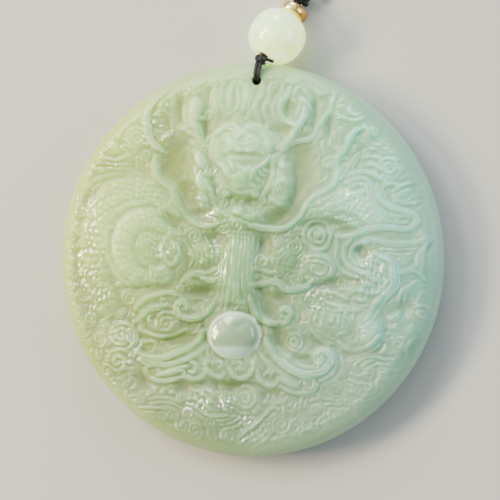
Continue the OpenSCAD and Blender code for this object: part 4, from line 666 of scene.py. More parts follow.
# %% scales and hair
# x, y, half width, half height, turn, pitch, depth
SCALE_PATCHES = [
    (-17.6, 9.6, 5.4, 2.2, 8, 0.8, 0.22), (-22.2, 4.6, 1.7, 5.6, -6, 0.8, 0.24),
    (-14.6, 4.4, 4.6, 3.4, -30, 0.8, 0.2), (-13.6, 9, 2.6, 1.8, -40, 0.8, 0.2),
    (15.6, 6.4, 4.6, 2, 10, 0.75, 0.2), (18.2, 6.4, 2.4, 1.8, 0, 0.8, 0.22),
    (14, -9, 4, 1.6, 0, 0.7, 0.18), (22.6, 0.2, 2.2, 1, -10, 0.7, 0.16),
    (-6.4, 0.8, 2.2, 2, 40, 0.7, 0.18), (4.4, 0.4, 2.6, 2.2, -40, 0.7, 0.18),
    (18, 10, 1.4, 1.2, 0, 0.7, 0.16), (12.9, 0.4, 1.2, 2, 0, 0.6, 0.12),
]
# x, y, half width, half height, centre of the arcs x, y, pitch, depth
HAIR_PATCHES = [
    (-18.9, 0.6, 1, 3.6, -30, 0.5, 0.56, 0.18), (-1, 5.6, 4.2, 1, -1, -30, 0.5, 0.18),
    (20.4, -4.4, 3, 3.4, 12, -2, 0.7, 0.16), (24.8, -4.6, 1.2, 1.6, 24.6, 8, 0.6, 0.16),
    (16.2, 15.6, 2.4, 2.6, 10, 10, 0.65, 0.16), (-8, -19.6, 3.4, 2.2, -12, -26, 0.6, 0.16),
    (-12.6, -20.4, 3.2, 1.4, -12.6, -34, 0.6, 0.12), (21.4, 5.6, 3, 1.2, 21.4, 20, 0.6, 0.12),
    (22.4, 1.2, 3, 0.8, 22.4, 20, 0.55, 0.12), (-24.6, -9.4, 1.2, 1.4, -24, 2, 0.5, 0.12),
    (-7.2, -12.6, 2.4, 0.8, -2, -24, 0.5, 0.14), (-21, 13.6, 2.4, 1.6, -21, 30, 0.6, 0.1),
    (22, -13, 3.4, 2, 14, -8, 0.8, 0.14), (17.4, -14.4, 2.4, 1.4, 12, -9, 0.6, 0.12),
    (4.2, 1.6, 2.6, 1.6, 0, 6, 0.7, 0.14), (-5.6, 1.4, 2.4, 2, -1, 5, 0.7, 0.14),
    (-1.6, -21.4, 3, 2, -4, -16, 0.6, 0.14), (9.6, 12.4, 1, 2.4, 0, 12, 0.6, 0.1),
    (-9.6, 13.4, 1.4, 2.6, 0, 12, 0.6, 0.1), (12, 17, 1.2, 2.4, 4, 18, 0.6, 0.12),
]
print("scale patches:", len(SCALE_PATCHES), "hair patches:", len(HAIR_PATCHES))

# %% [markdown]
# The dragon's long body winds behind the head and comes out in coils on both sides. A body is a band with
# half its width, its rise, the pitch of its scales, and the points that its middle goes through.

# %% the scaly body
BODIES = [
    (2.1, 0.4, 1, [(-20.5, -6.5), (-22, -3.5), (-22.6, 0), (-22.3, 3.6), (-21.4, 6.8), (-19.6, 9.2),
        (-17, 10.2), (-14.4, 9.9), (-12.4, 8.6), (-11.2, 7)]),
    (1.7, 0.4, 0.95, [(-12.2, -2.2), (-14.4, -3.2), (-16.8, -2.2), (-18.2, 0.4), (-18, 3.2), (-16.4, 5.4),
        (-14, 6), (-12, 5)]),
    (1.9, 0.4, 0.95, [(10.6, 7.2), (13, 8.2), (15.6, 8.2), (17.6, 7), (19, 5.6)]),
]
print("bodies:", len(BODIES))

# %% [markdown]
# Some places were polished longer than others and catch the light in small bright points. They are
# listed as ovals: [x, y, half width, half height].

# %% the places that sparkle
SPARKLES = [
    (-24, 5, 2.6, 10), (-22.5, -4, 3.8, 5), (-18, -11.8, 3.8, 4.8), (-13, 17.5, 3.2, 5),
    (-21, 15.5, 3.2, 3.5), (-6.2, 10, 2.2, 5), (-4, 0.8, 2.4, 3.6), (18.2, -2, 3, 4.2),
    (9.8, -5, 2.3, 2.7), (0.2, -24, 2.8, 2.2), (8.6, 21, 1.3, 2.4), (-11.5, -8, 4, 2.4),
    (15, 8, 1.6, 2.4), (-6, -20.5, 5, 2.2), (-12, 2, 3, 2),
]
print("sparkles:", len(SPARKLES))

# %% [markdown]
# A stroke's few points become a smooth curve, and every face point near it is measured from that curve.
# The same two helpers later serve the threads and the braid, whose paths are curves in space.

# %% curves and distances
CURVE_STEP = 0.22


def smooth_line(points):
    """A curve through the points, flat or in space, as many short pieces."""
    p = np.array(points, float)
    p = np.vstack([2 * p[0] - p[1], p, 2 * p[-1] - p[-2]])
    pieces = []
    for a, b, c, d in zip(p[:-3], p[1:-2], p[2:-1], p[3:]):
        count = max(2, int(np.linalg.norm(c - b) / CURVE_STEP))
        t = (np.arange(count) / count)[:, None]
        pieces.append(0.5 * (2 * b + (c - a) * t + (2 * a - 5 * b + 4 * c - d) * t ** 2
                             + (3 * b - 3 * c + d - a) * t ** 3))
    return np.vstack(pieces + [p[-2:-1]])


def near_line(line, reach):
    """The face points near a line, their distance from it, and how far along it they are."""
    low, high = line.min(0) - reach, line.max(0) + reach
    index = np.flatnonzero((X > low[0]) & (X < high[0]) & (Y > low[1]) & (Y < high[1]))
    a, ab = line[:-1], np.diff(line, axis=0)
    length = np.maximum(1e-6, np.hypot(ab[:, 0], ab[:, 1]))
    dx, dy = X[index, None] - a[:, 0], Y[index, None] - a[:, 1]
    share = np.clip((dx * ab[:, 0] + dy * ab[:, 1]) / length ** 2, 0, 1)
    gap = (dx - share * ab[:, 0]) ** 2 + (dy - share * ab[:, 1]) ** 2
    best = gap.argmin(1)
    rows = np.arange(len(index))
    along = (np.cumsum(length) - length)[best] + share[rows, best] * length[best]
    return index, np.sqrt(gap[rows, best]), along, length.sum()


# %% [markdown]
# The distance from its curve decides how high a point of a stroke stands. A groove just outside a raised
# stroke parts it from its neighbours, as the carver's V tool does. A later stroke lies over an earlier
# one, so the strokes go from the back to the front. Wide strokes get a shallow line along their crest.

# %% how a stroke is carved
GROOVE_W, GROOVE_SHARE, GROOVE_MIN = 0.15, 0.19, 0.05
UNDER_SHARE, SOFTNESS = 0.35, 0.50
WIDE_STROKE, CUT_SHARE, CUT_WIDER = 0.3, 0.5, 1.35
BARE_REACH, NO_STROKE = 1.3, 2.0
relief, covered, scaly, polished = np.zeros((4, len(X)))
across = np.full(len(X), NO_STROKE)


def crest_line(t, depth, middle, wide):
    """A shallow line along a stroke, as a share of its height, at a share of its half width."""
    return 1 - depth * np.exp(-((t - middle) / wide) ** 2)


def groove_beside(gap, half, rise):
    """How deep the groove beside a raised form is at a distance from the form's middle."""
    return (GROOVE_MIN + GROOVE_SHARE * rise) * np.exp(-((gap - half) / GROOVE_W) ** 2)


def carve(kind, half, rise, line, polish=0.0):
    """Raises or cuts one stroke into the relief; its polish sets the painted light on the stroke's crest."""
    if kind == "cut":
        half, rise = half * CUT_WIDER, rise * CUT_SHARE
    index, gap, along, total = near_line(line, half + 3 * GROOVE_W)
    if kind == "leaf":
        width = half * np.maximum(0.12, np.sin(np.pi * along / total)) ** 0.7
    elif kind == "ring":
        width = np.full(len(index), half)
    else:
        width = half * (0.5 + 0.5 * np.clip(np.minimum(along, total - along) / (3 * half), 0, 1) ** 0.7)
    t = gap / width
    dome = np.sqrt(np.maximum(0, 1 - t ** 2))
    if kind == "cut":
        relief[index] -= rise * dome ** 2
        covered[index[t < BARE_REACH]] = 1
        return
    if kind == "ribbon":
        dome = dome * crest_line(t, 0.3, 0, 0.28)
    elif half > 2 * WIDE_STROKE:
        dome = dome * crest_line(t, 0.3, 0.38, 0.15)
    elif half > WIDE_STROKE and kind != "leaf":
        dome = dome * crest_line(t, 0.34, 0, 0.3)
    if kind == "leaf":
        dome = dome * (width / half) ** 0.5
    under = relief[index]
    relief[index] = np.where(t < 1, np.clip(under * UNDER_SHARE, 0, None) + rise * dome,
                             under - groove_beside(gap, width, rise))
    scaly[index[t < 1.2]] = 0
    # painted light: the polish value paints the crest paler, and no roughness reads it
    polished[index] = np.where(t < 1, polish * dome, polished[index])
    across[index] = np.where(t < 1.05, t if half > WIDE_STROKE else NO_STROKE, across[index])
    covered[index[t < BARE_REACH]] = 1


# %% [markdown]
# Scales are small round plates in rows, and each row is shifted by half a scale and overlaps the next. On
# the body the rows follow its curve, and a smooth border runs along both of its sides.

# %% scales, curls and ovals
SCALE_RISE, BORDER_AT, BORDER_W, SCALY_TO = 0.36, 0.86, 0.07, 0.85


def scale_rows(u, v):
    """Overlapping round scales, where u counts their rows and v the scales in a row."""
    high = np.full(len(u), -0.5)
    for back in (1, 0):
        row = np.floor(u) + back
        shift = 0.5 * (row % 2)
        near = np.hypot(v - (np.round(v - shift) + shift), 0.85 * (u - row) + 0.1) / 0.6
        high = np.where(near < 1, 1 - 1.3 * near ** 2, high)
    return high


def body_band(half, rise, pitch, line):
    """Raises a long scaly body: a low dome whose rows of scales follow it round."""
    index, gap, along, total = near_line(line, half + 3 * GROOVE_W)
    a, b = line[:-1], line[1:]
    step = np.clip(np.searchsorted(np.cumsum(np.hypot(*(b - a).T)), along), 0, len(a) - 1)
    way = (b - a)[step] / np.hypot(*(b - a)[step].T)[:, None]
    off = (X[index] - a[step, 0]) * way[:, 1] - (Y[index] - a[step, 1]) * way[:, 0]
    scale = scale_rows(along / pitch, off / (0.85 * pitch))
    t = gap / half
    dome = np.sqrt(np.maximum(0, 1 - t ** 2))
    border = np.exp(-((t - BORDER_AT) / BORDER_W) ** 2)
    skin = rise * dome + SCALE_RISE * scale * np.clip(4 * (BORDER_AT - t), 0, 1) - 0.12 * border
    relief[index] = np.where(t < 1, skin, relief[index] - groove_beside(gap, half, rise))
    covered[index[t < 1.05]] = 1
    scaly[index[t < SCALY_TO]] = 1


def curl_line(x, y, size, turn_count, start, hand):
    """A spiral that winds inwards, or a closed ring where it has one turn."""
    t = np.linspace(0, 1, int(24 * turn_count) + 8)
    r = size if turn_count == 1 else size * (1 - 0.86 * t ** 0.85)
    a = math.radians(start) + hand * 2 * np.pi * turn_count * t
    return np.column_stack([x + r * np.cos(a), y + r * np.sin(a)])


def oval(x, y, half_w, half_h, turn_deg):
    """Each face point's distance from an oval's middle, where 1 is its edge."""
    c, s = math.cos(math.radians(turn_deg)), math.sin(math.radians(turn_deg))
    dx, dy = X - x, Y - y
    return np.hypot((dx * c + dy * s) / half_w, (dy * c - dx * s) / half_h)


# %% [markdown]
# The face is built in the carver's own order. First come the broad swellings and the deep pockets. Then
# scales and hair are scratched in, and the strokes are laid from the background to the head. The ground
# that is still bare gets small curls, as the cloud pattern between the main forms has on the real one.

# %% the broad forms, the scales and the hair
SWELL_SHARE, POCKET_SHARE, POCKET_WIDER, DEEP_POCKET = 0.7, 0.42, 1.35, 0.8
SCALE_DEPTH, MASK_EDGE = 1.6, 2.5
ground = bowl.copy()
for x, y, half_w, half_h, turn_deg, rise in SWELLINGS:
    ground += SWELL_SHARE * rise * np.maximum(0, 1 - oval(x, y, half_w, half_h, turn_deg) ** 2) ** 1.3
pocket = np.zeros(len(X))
for x, y, half_w, half_h, turn_deg, depth in HOLLOWS:
    inside = np.maximum(0, 1 - oval(x, y, POCKET_WIDER * half_w, POCKET_WIDER * half_h, turn_deg) ** 2)
    pocket = np.maximum(pocket, depth * inside ** 1.3)
ground -= POCKET_SHARE * pocket
pocket = np.clip(pocket / DEEP_POCKET, 0, 1)

for x, y, half_w, half_h, turn_deg, pitch, depth in SCALE_PATCHES:
    mask = np.clip(MASK_EDGE * (1 - oval(x, y, half_w, half_h, turn_deg)), 0, 1)
    c, s = math.cos(math.radians(turn_deg)), math.sin(math.radians(turn_deg))
    u, v = ((X - x) * c + (Y - y) * s) / pitch, ((Y - y) * c - (X - x) * s) / (0.8 * pitch)
    relief += SCALE_DEPTH * depth * mask * scale_rows(v, u) * (1 - pocket)
    scaly = np.maximum(scaly, mask * (1 - pocket))
for x, y, half_w, half_h, at_x, at_y, pitch, depth in HAIR_PATCHES:
    mask = np.clip(MASK_EDGE * (1 - oval(x, y, half_w, half_h, 0)), 0, 1)
    wander = 0.35 * np.sin(1.1 * X + 0.7 * Y) + 0.25 * np.sin(0.8 * Y - 1.3 * X)
    lines = np.abs(np.sin(np.pi * (np.hypot(X - at_x, Y - at_y) + wander) / pitch))
    relief += depth * mask * (lines - 0.5) * (1 - 0.7 * pocket)
print("ground from", round(float(ground.min()), 2), "to", round(float(ground.max()), 2), "mm high")

sparkle = np.zeros(len(X))
for x, y, half_w, half_h in SPARKLES:
    sparkle = np.maximum(sparkle, np.clip(1.8 * (1 - oval(x, y, half_w, half_h, 0) ** 2), 0, 1))

# %% [markdown]
# Each stroke is carved over those before it. The body and the ground's motifs come first and the head
# last, and the knobs are set on top of them.

# %% the strokes, curls and knobs, from the back to the front
HEAD_CREST_LIGHT = 0.7
stroke_count = 0
for half, rise, pitch, points in BODIES:
    body_band(half, rise, pitch, smooth_line(points))
for motif in (BELOW, LEFT, RIGHT, MANE, ANTLERS):
    for kind, half, rise, points in motif:
        carve(kind, half, rise, smooth_line(points))
        stroke_count += 1
for x, y, size, turn_count, start, hand, half, rise in CURLS:
    carve("ring" if turn_count == 1 else "ridge", half, rise, curl_line(x, y, size, turn_count, start, hand))
for motif in (BEARD, SCROLLS, WHISKERS, HEAD):
    for kind, half, rise, points in motif:
        carve(kind, half, rise, smooth_line(points), HEAD_CREST_LIGHT if motif is HEAD else 1.0)
        stroke_count += 1
for x, y, half_w, half_h, turn_deg, rise in KNOBS:
    gap = oval(x, y, half_w, half_h, turn_deg)
    lip = (gap - 1) * min(half_w, half_h) / GROOVE_W
    relief = np.where(gap < 1, np.maximum(0.4 * relief, 0) + rise * np.sqrt(np.maximum(0, 1 - gap ** 2)),
                      relief - (GROOVE_MIN + 0.15 * rise) * np.exp(-lip ** 2) * (gap < 3))
    covered[gap < 1.2] = 1
strokes_only = covered.copy()
print(stroke_count, "strokes,", len(CURLS), "curls,", len(KNOBS), "knobs")

# %% [markdown]
# The bare ground gets small curls, the large ones first. They stand on a loose grid, and each one is moved,
# sized and turned by chance. One that would lie on a carved form or in a pocket is left out.

# %% the cloud curls on the bare ground
# pitch, smallest and largest radius, turns, half width, how much of its place may be taken
CLOUD_CURLS = [(3.0, 1.15, 1.5, 1.9, 0.24, 0.2), (2.1, 0.8, 1.1, 1.5, 0.2, 0.3),
               (1.5, 0.5, 0.75, 1.2, 0.17, 0.34)]
CURL_REACH, CURL_RISE, SMOOTH_SHARE = 27.0, 0.3, 0.3
dice = np.random.default_rng(8)
uncurled = np.minimum(oval(-14, 0.5, 5.0, 4.2, 0), oval(11.5, 15.5, 4.5, 3.6, 0)) < 1
curl_count = 0
for pitch, low, high, turn_count, half, taken in CLOUD_CURLS:
    rows = int(CURL_REACH / pitch) + 1
    for row in range(-rows, rows + 1):
        for column in range(-rows, rows + 1):
            x = (column + 0.5 * (row % 2)) * pitch + dice.uniform(-0.3, 0.3) * pitch
            y = row * pitch * 0.87 + dice.uniform(-0.3, 0.3) * pitch
            start, size, hand = dice.uniform(0, 360), dice.uniform(low, high), dice.choice([-1, 1])
            inside = np.hypot(X - x, Y - y) < size
            if (math.hypot(x, y) > CURL_REACH - size or covered[inside].mean() > taken
                    or (pocket + uncurled)[inside].mean() > SMOOTH_SHARE):
                continue
            worn = np.clip(1.15 - 0.03 * (x - y) - 0.1 * max(0, x - 8) * (y < -14), 0.45, 1.2)
            carve("ridge", half, CURL_RISE * worn, curl_line(x, y, size, turn_count, start, hand))
            covered[inside] = 1
            curl_count += 1
print(curl_count, "cloud curls fill the ground")

# %% [markdown]
# A carver fills what is left with lines that follow the nearest form, like ripples round a stone. How far
# each point of a fine square grid lies from the nearest stroke is found step by step from cell to cell,
# and ripples of that distance are carved where the ground is bare. The deep pockets stay smooth.

# %% the ripples round the forms
CELL, RIPPLE, RIPPLE_RISE, CELL_STEPS = 0.15, 0.78, 0.13, 24
cells = int(2 * GRID_R / CELL) + 3
column = np.clip(np.round((X + GRID_R) / CELL).astype(int) + 1, 0, cells - 1)
row = np.clip(np.round((Y + GRID_R) / CELL).astype(int) + 1, 0, cells - 1)
far = np.full((cells, cells), 9.0)
far[row[strokes_only > 0], column[strokes_only > 0]] = 0
for _ in range(CELL_STEPS):
    for axis in (0, 1):
        for way in (-1, 1):
            far = np.minimum(far, np.roll(far, way, axis) + CELL)
            for other in (-1, 1):
                far = np.minimum(far, np.roll(np.roll(far, way, axis), other, 1 - axis) + 1.414 * CELL)
for _ in range(3):
    far = (2 * far + np.roll(far, 1, 0) + np.roll(far, -1, 0) + np.roll(far, 1, 1) + np.roll(far, -1, 1)) / 6
fx, fy = (X + GRID_R) / CELL + 1, (Y + GRID_R) / CELL + 1
cx, cy = np.clip(np.floor(fx).astype(int), 0, cells - 2), np.clip(np.floor(fy).astype(int), 0, cells - 2)
fx, fy = fx - cx, fy - cy
gap = ((1 - fy) * ((1 - fx) * far[cy, cx] + fx * far[cy, cx + 1])
       + fy * ((1 - fx) * far[cy + 1, cx] + fx * far[cy + 1, cx + 1]))
bare = (covered == 0) * np.clip(gap / 0.3, 0, 1) * (1 - pocket)
relief += RIPPLE_RISE * bare * np.cos(2 * np.pi * (gap / RIPPLE - 0.75))
print("ripples on", round(100 * float((bare > 0.5).mean())), "% of the face")

# %% [markdown]
# The pearl is a polished dome with a groove round it. The scraper leaves faint waves all over, and the
# carving fades out towards the rim, which stays plain.

# %% the pearl, the rim's plain margin and the finished heights
MARGIN, PEARL_GROOVE, PEARL_GROOVE_W, PEARL_SHARE = 1.0, 0.35, 0.22, 0.72
x, y, half_w, half_h, turn_deg, rise = PEARL
gap = oval(x, y, half_w, half_h, turn_deg)
pearl = np.clip(1 - gap, 0, 1)
relief = np.where(gap < 1, rise * np.sqrt(np.maximum(0, 1 - gap ** 2)),
                  relief - PEARL_GROOVE * np.exp(-((gap - 1) * half_w / PEARL_GROOVE_W) ** 2) * (gap < 2))
waves = 0.02 * np.sin(2.3 * X + 1.9 * np.sin(1.7 * Y)) + 0.015 * np.sin(3.1 * Y - 2.2 * np.sin(1.3 * X))
fade = np.clip((GRID_R - radius) / MARGIN, 0, 1) ** 0.8
height = bowl + fade * (ground - bowl + np.where(pearl > 0, PEARL_SHARE, SOFTNESS) * relief + waves)
print("the pearl's top is", round(float(height[pearl > 0].max()), 2), "mm high")

# %% [markdown]
# The rings of the face go on over the rounded edge to the flat back. The blank's edge is a quarter of an
# oval on the front and a wider one behind, so no sharp corner is left to chip or to scratch the skin.
# The back is one flat polygon, because the pendant lies on it.

# %% the disc's mesh
grid_turn = math.degrees(math.asin((GRID_R - FACE_R) / FRONT_ROUND))
edge_turns = np.radians(np.concatenate([np.linspace(grid_turn, 90, 5)[1:], np.linspace(102, 180, 7)]))
rim_count = 6 * RINGS
rim_turns = 2 * np.pi * np.arange(rim_count) / rim_count
edge_x, edge_y, edge_z = [], [], []
for turn_rad in edge_turns:
    front = turn_rad <= math.pi / 2 + 1e-6
    wide = FRONT_ROUND if front else BACK_ROUND
    r = FACE_R + FRONT_ROUND - wide + wide * math.sin(turn_rad)
    z = EDGE_Z + (RIM_Z - EDGE_Z if front else EDGE_Z) * math.cos(turn_rad)
    edge_x.append(r * np.cos(rim_turns))
    edge_y.append(r * np.sin(rim_turns))
    edge_z.append(np.full(rim_count, z))

faces = []
for k in range(1, RINGS + 1):
    outer, inner = 1 + 3 * k * (k - 1), (0 if k == 1 else 1 + 3 * (k - 1) * (k - 2))
    inner_count = max(1, 6 * (k - 1))
    side, j = np.repeat(np.arange(6), k), np.tile(np.arange(k), 6)
    a, b = outer + side * k + j, outer + (side * k + j + 1) % (6 * k)
    c = inner + (side * (k - 1) + j) % inner_count
    d = inner + (side * (k - 1) + j + 1) % inner_count
    faces.append(np.column_stack([a, b, c]))
    faces.append(np.column_stack([c, b, d])[j < k - 1])
face_triangles = np.vstack(faces)
rim_start = 1 + 3 * RINGS * (RINGS - 1)
i = np.arange(rim_count)
for level in range(len(edge_turns)):
    a, b = rim_start + level * rim_count + i, rim_start + level * rim_count + (i + 1) % rim_count
    faces.append(np.column_stack([a, b + rim_count, b]))
    faces.append(np.column_stack([a, a + rim_count, b + rim_count]))
back_face = (rim_start + len(edge_turns) * rim_count + i)[::-1]
print(sum(len(part) for part in faces), "triangles and one flat back")

# %% [markdown]
# A tool never leaves a perfectly sharp line, so the heights are blurred once over the mesh. Where the
# polish sparkles, small real tool marks are added, because a mirror-like coat needs real slopes to catch
# a lamp. Wider blurs tell how far each point stands above its near and its wide surroundings.

# %% soften the carving and add the tool's marks
TOOL_MARK, NEAR_BLUR, WIDE_BLUR, INWARD_FADE = 0.11, 12, 20, 1.5


def spread(values, passes):
    """Each face point's value, blurred over its neighbours."""
    for _ in range(passes):
        total = np.bincount(edge_a, values[edge_b], len(X)) + np.bincount(edge_b, values[edge_a], len(X))
        values = 0.5 * values + 0.5 * total / neighbours
    return values


pairs = np.unique(np.sort(np.vstack([face_triangles[:, [0, 1]], face_triangles[:, [1, 2]],
                                     face_triangles[:, [2, 0]]]), axis=1), axis=0)
edge_a, edge_b = pairs[:, 0], pairs[:, 1]
neighbours = np.bincount(edge_a, minlength=len(X)) + np.bincount(edge_b, minlength=len(X))
height = np.where(ring == RINGS, height, spread(height, 1))
inwards = np.clip((GRID_R - radius) / INWARD_FADE, 0, 1)
sparkle = inwards * spread(sparkle, 3)
height += sparkle * spread(dice.normal(0, TOOL_MARK, len(X)), 2)
fine_depth = inwards * (height - spread(height, NEAR_BLUR))
wide_depth = inwards * (spread(height, WIDE_BLUR) - bowl)
print("the face is", round(float(height.min()), 2), "to", round(float(height.max()), 2), "mm high")

# %% [markdown]
# The lists were drawn as the camera sees the face: their millimetres are millimetres of its picture. The
# camera looks from the right, so a high point seems to lie further left than it is, and the near side
# looks a little larger. Each point is therefore slid to where its own height puts it on the same spot of
# the picture. At the rim the slide fades out, so the disc stays round.

# %% slide the carving under the camera's slant and make the mesh
# how the charted millimetres lie in the camera's picture, measured from the point it looks at
picture_x, picture_y = 0.9697 * X - 0.542, 0.9996 * Y - 1.383
lens_far = VIEW_WIDTH * LENS / SENSOR
up_by = spread(height, NEAR_BLUR) - LOOK_AT.z / MM
seen_x, seen_y = X, Y
for _ in range(3):
    towards = (seen_x - LOOK_AT.x / MM) * math.sin(VIEW_TILT) + up_by * math.cos(VIEW_TILT)
    shrink = 1 - towards / lens_far
    seen_x = LOOK_AT.x / MM + (picture_x * shrink + up_by * math.sin(VIEW_TILT)) / math.cos(VIEW_TILT)
    seen_y = LOOK_AT.y / MM + picture_y * shrink
share = np.clip((GRID_R - radius) / 3, 0, 1)
slide_x, slide_y = share * (seen_x - X), share * (seen_y - Y)
print("the carving slides by", round(float(np.abs(slide_x).max()), 2), "mm at most")
points = np.column_stack([np.concatenate([X + slide_x] + edge_x), np.concatenate([Y + slide_y] + edge_y),
                          np.concatenate([height] + edge_z)]) * MM
mesh = bpy.data.meshes.new("carved_disc")
mesh.from_pydata(points.tolist(), [], np.vstack(faces).tolist() + [back_face.tolist()])
disc = bpy.data.objects.new("carved_disc", mesh)
bpy.context.collection.objects.link(disc)
print("disc:", len(mesh.vertices), "points,", len(mesh.polygons), "faces, closed:", mesh.validate() is False)


def show_only(piece):
    """Selects one object and makes it active, as a click does."""
    bpy.ops.object.select_all(action="DESELECT")
    piece.select_set(True)
    bpy.context.view_layer.objects.active = piece


def apply_modifiers(piece):
    """Applies all of a piece's modifiers in their order."""
    show_only(piece)
    for modifier in list(piece.modifiers):
        bpy.ops.object.modifier_apply(modifier=modifier.name)


# %% [markdown]
# Round turned shapes are spun: half an outline is drawn once and turned about its middle, as a lathe
# does. The hole's cutter, the bead and the gold ring are all made so. The doubled points at the seam are
# merged, and the normals are made to point out again.

# %% the lathe
def lathe(name, outline, steps, place, axis=(0, 0, 1)):
    """Spins a closed outline of [radius, height] in millimetres, and sets it on its axis at its place."""
    mesh = bpy.data.meshes.new(name)
    count = len(outline)
    edges = [(k, (k + 1) % count) for k in range(count)]
    mesh.from_pydata([(r * MM, 0, h * MM) for r, h in outline], edges, [])
    piece = bpy.data.objects.new(name, mesh)
    bpy.context.collection.objects.link(piece)
    show_only(piece)
    bpy.ops.object.mode_set(mode="EDIT")
    bpy.ops.mesh.select_all(action="SELECT")
    bpy.ops.mesh.spin(steps=steps, angle=2 * math.pi, center=(0, 0, 0), axis=(0, 0, 1))
    bpy.ops.mesh.select_all(action="SELECT")
    bpy.ops.mesh.remove_doubles(threshold=0.00001)
    bpy.ops.mesh.normals_make_consistent(inside=False)
    bpy.ops.object.mode_set(mode="OBJECT")
    piece.data.transform(Vector(axis).to_track_quat("Z", "Y").to_matrix().to_4x4())
    piece.data.transform(Matrix.Translation(Vector(place) * MM))
    bpy.ops.object.shade_smooth()
    return piece


# %% [markdown]
# The hole is drilled after the carving, and both of its mouths are eased so that they don't cut the
# thread. A spool that widens at both ends is taken away from the disc with a Boolean modifier.

# %% drill the eased hole
HOLE = (1.3, 25.45)
HOLE_R, EASE = 0.62, 0.28
ROUNDED = 0.3 * EASE
spool = [(0, -1.0), (HOLE_R + EASE + 1.0, -1.0), (HOLE_R + EASE, 0), (HOLE_R + ROUNDED, ROUNDED),
         (HOLE_R, EASE), (HOLE_R, RIM_Z - EASE), (HOLE_R + ROUNDED, RIM_Z - ROUNDED), (HOLE_R + EASE, RIM_Z),
         (HOLE_R + EASE + 0.8, RIM_Z + 1.4), (0, RIM_Z + 1.4)]
cutter = lathe("hole_cutter", spool, 48, (HOLE[0], HOLE[1], 0))
drill = disc.modifiers.new("hole", "BOOLEAN")
drill.object, drill.operation, drill.solver = cutter, "DIFFERENCE", "MANIFOLD"
apply_modifiers(disc)
bpy.data.objects.remove(cutter)
bpy.ops.object.shade_smooth()
print("drilled disc:", len(disc.data.polygons), "faces")

# %% [markdown]
# The material paints shade into deep grooves, darker and greener, and paints light onto raised lines.
# Two attributes keep how far each point stands above its surroundings. Others keep where the scales, the
# pearl, the front strokes' painted crest light, the pockets' painted shade, the sparkling places and the
# plain rim are. Drilling changed the points' order, so each point takes its value from the face point
# nearest to it.

# %% store what the material reads
PLAIN_W = 1.4
where = np.empty(3 * len(disc.data.vertices))
disc.data.vertices.foreach_get("co", where)
where = where.reshape(-1, 3) / MM
r = np.hypot(where[:, 0], where[:, 1])
k = np.minimum(RINGS, np.round(r / GRID_R * RINGS)).astype(int)
step = np.round(np.mod(np.arctan2(where[:, 1], where[:, 0]), 2 * np.pi) / (2 * np.pi) * 6 * k)
nearest = np.where(k == 0, 0, 1 + 3 * k * (k - 1) + np.mod(step, np.maximum(1, 6 * k))).astype(int)
on_face = (where[:, 2] > 3.5) & (r < GRID_R)
# where the bare pockets get painted shade
pocket_shade = inwards * spread(pocket * (covered == 0), 5)
face_values = {"fine_depth": fine_depth, "wide_depth": wide_depth, "scaly": inwards * spread(scaly, 2),
               "pearl": pearl, "polished": spread(polished, 2), "across": across, "sparkle": sparkle,
               "pocket_shade": pocket_shade}
stored = {name: np.where(on_face, values[nearest], NO_STROKE if name == "across" else 0.0)
          for name, values in face_values.items()}
stored["plain_rim"] = np.clip((r - FACE_R) / PLAIN_W, 0, 1)
for name, values in stored.items():
    layer = disc.data.attributes.new(name, "FLOAT", "POINT")
    layer.data.foreach_set("value", values.astype(np.float32))
    print(name, "from", round(float(values.min()), 2), "to", round(float(values.max()), 2))
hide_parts("jade_disc")

# %% [markdown]
# Two effects serve more than one finish, so each is a node group that is built once. "clouding" gives
# the soft cloudy patches that stone and cloth have, and "polish marks" gives the faint scratches and
# dull spots that a polished surface keeps. Both read Object coordinates, so they stay put on a piece.

# %% node helpers
def new_group(name, inputs, outputs):
    """A shader node group with float inputs (name, value) and float outputs."""
    group = bpy.data.node_groups.new(name, "ShaderNodeTree")
    for label, value in inputs:
        socket = group.interface.new_socket(label, in_out="INPUT", socket_type="NodeSocketFloat")
        socket.default_value = value
    for label in outputs:
        group.interface.new_socket(label, in_out="OUTPUT", socket_type="NodeSocketFloat")
    return group, group.nodes.new("NodeGroupInput").outputs, group.nodes.new("NodeGroupOutput").inputs


def node(tree, kind, links=(), **values):
    """Adds a node, sets its properties and joins its inputs."""
    made = tree.nodes.new("ShaderNode" + kind)
    for name, value in values.items():
        setattr(made, name, value)
    for socket, source in dict(links).items():
        if isinstance(source, bpy.types.NodeSocket):
            tree.links.new(source, made.inputs[socket])
        else:
            made.inputs[socket].default_value = source
    return made


# %% [markdown]
# Sums, noises, distances, ranges and mixed colours come up in every finish, so each gets a short name.

# %% short names for the usual nodes
def math_node(tree, operation, a, b=0.0, c=0.0):
    return node(tree, "Math", {0: a, 1: b, 2: c}, operation=operation).outputs[0]


def scaled(tree, value, by):
    """A value times another one."""
    return math_node(tree, "MULTIPLY", value, by)


def object_point(tree):
    """Where the shaded point lies on its piece, in metres."""
    return node(tree, "TexCoord").outputs["Object"]


def noise(tree, point, **settings):
    return node(tree, "TexNoise", {"Vector": point, **settings}).outputs[0]


def stretch(tree, point, factors):
    return node(tree, "VectorMath", {0: point, 1: factors}, operation="MULTIPLY").outputs[0]


def distance(tree, point, place):
    return node(tree, "VectorMath", {0: point, 1: place}, operation="DISTANCE").outputs["Value"]


def spread_range(tree, value, low, high, to_low=0.0, to_high=1.0):
    """Maps a value from one range to another and stops at its ends."""
    return node(tree, "MapRange", {0: value, 1: low, 2: high, 3: to_low, 4: to_high}).outputs[0]


def colour_ramp(tree, value, stops):
    ramp = node(tree, "ValToRGB", {0: value})
    elements = ramp.color_ramp.elements
    while len(elements) < len(stops):
        elements.new(0.5)
    for element, (place, colour) in zip(elements, stops):
        element.position, element.color = place, (*colour, 1)
    return ramp.outputs[0]


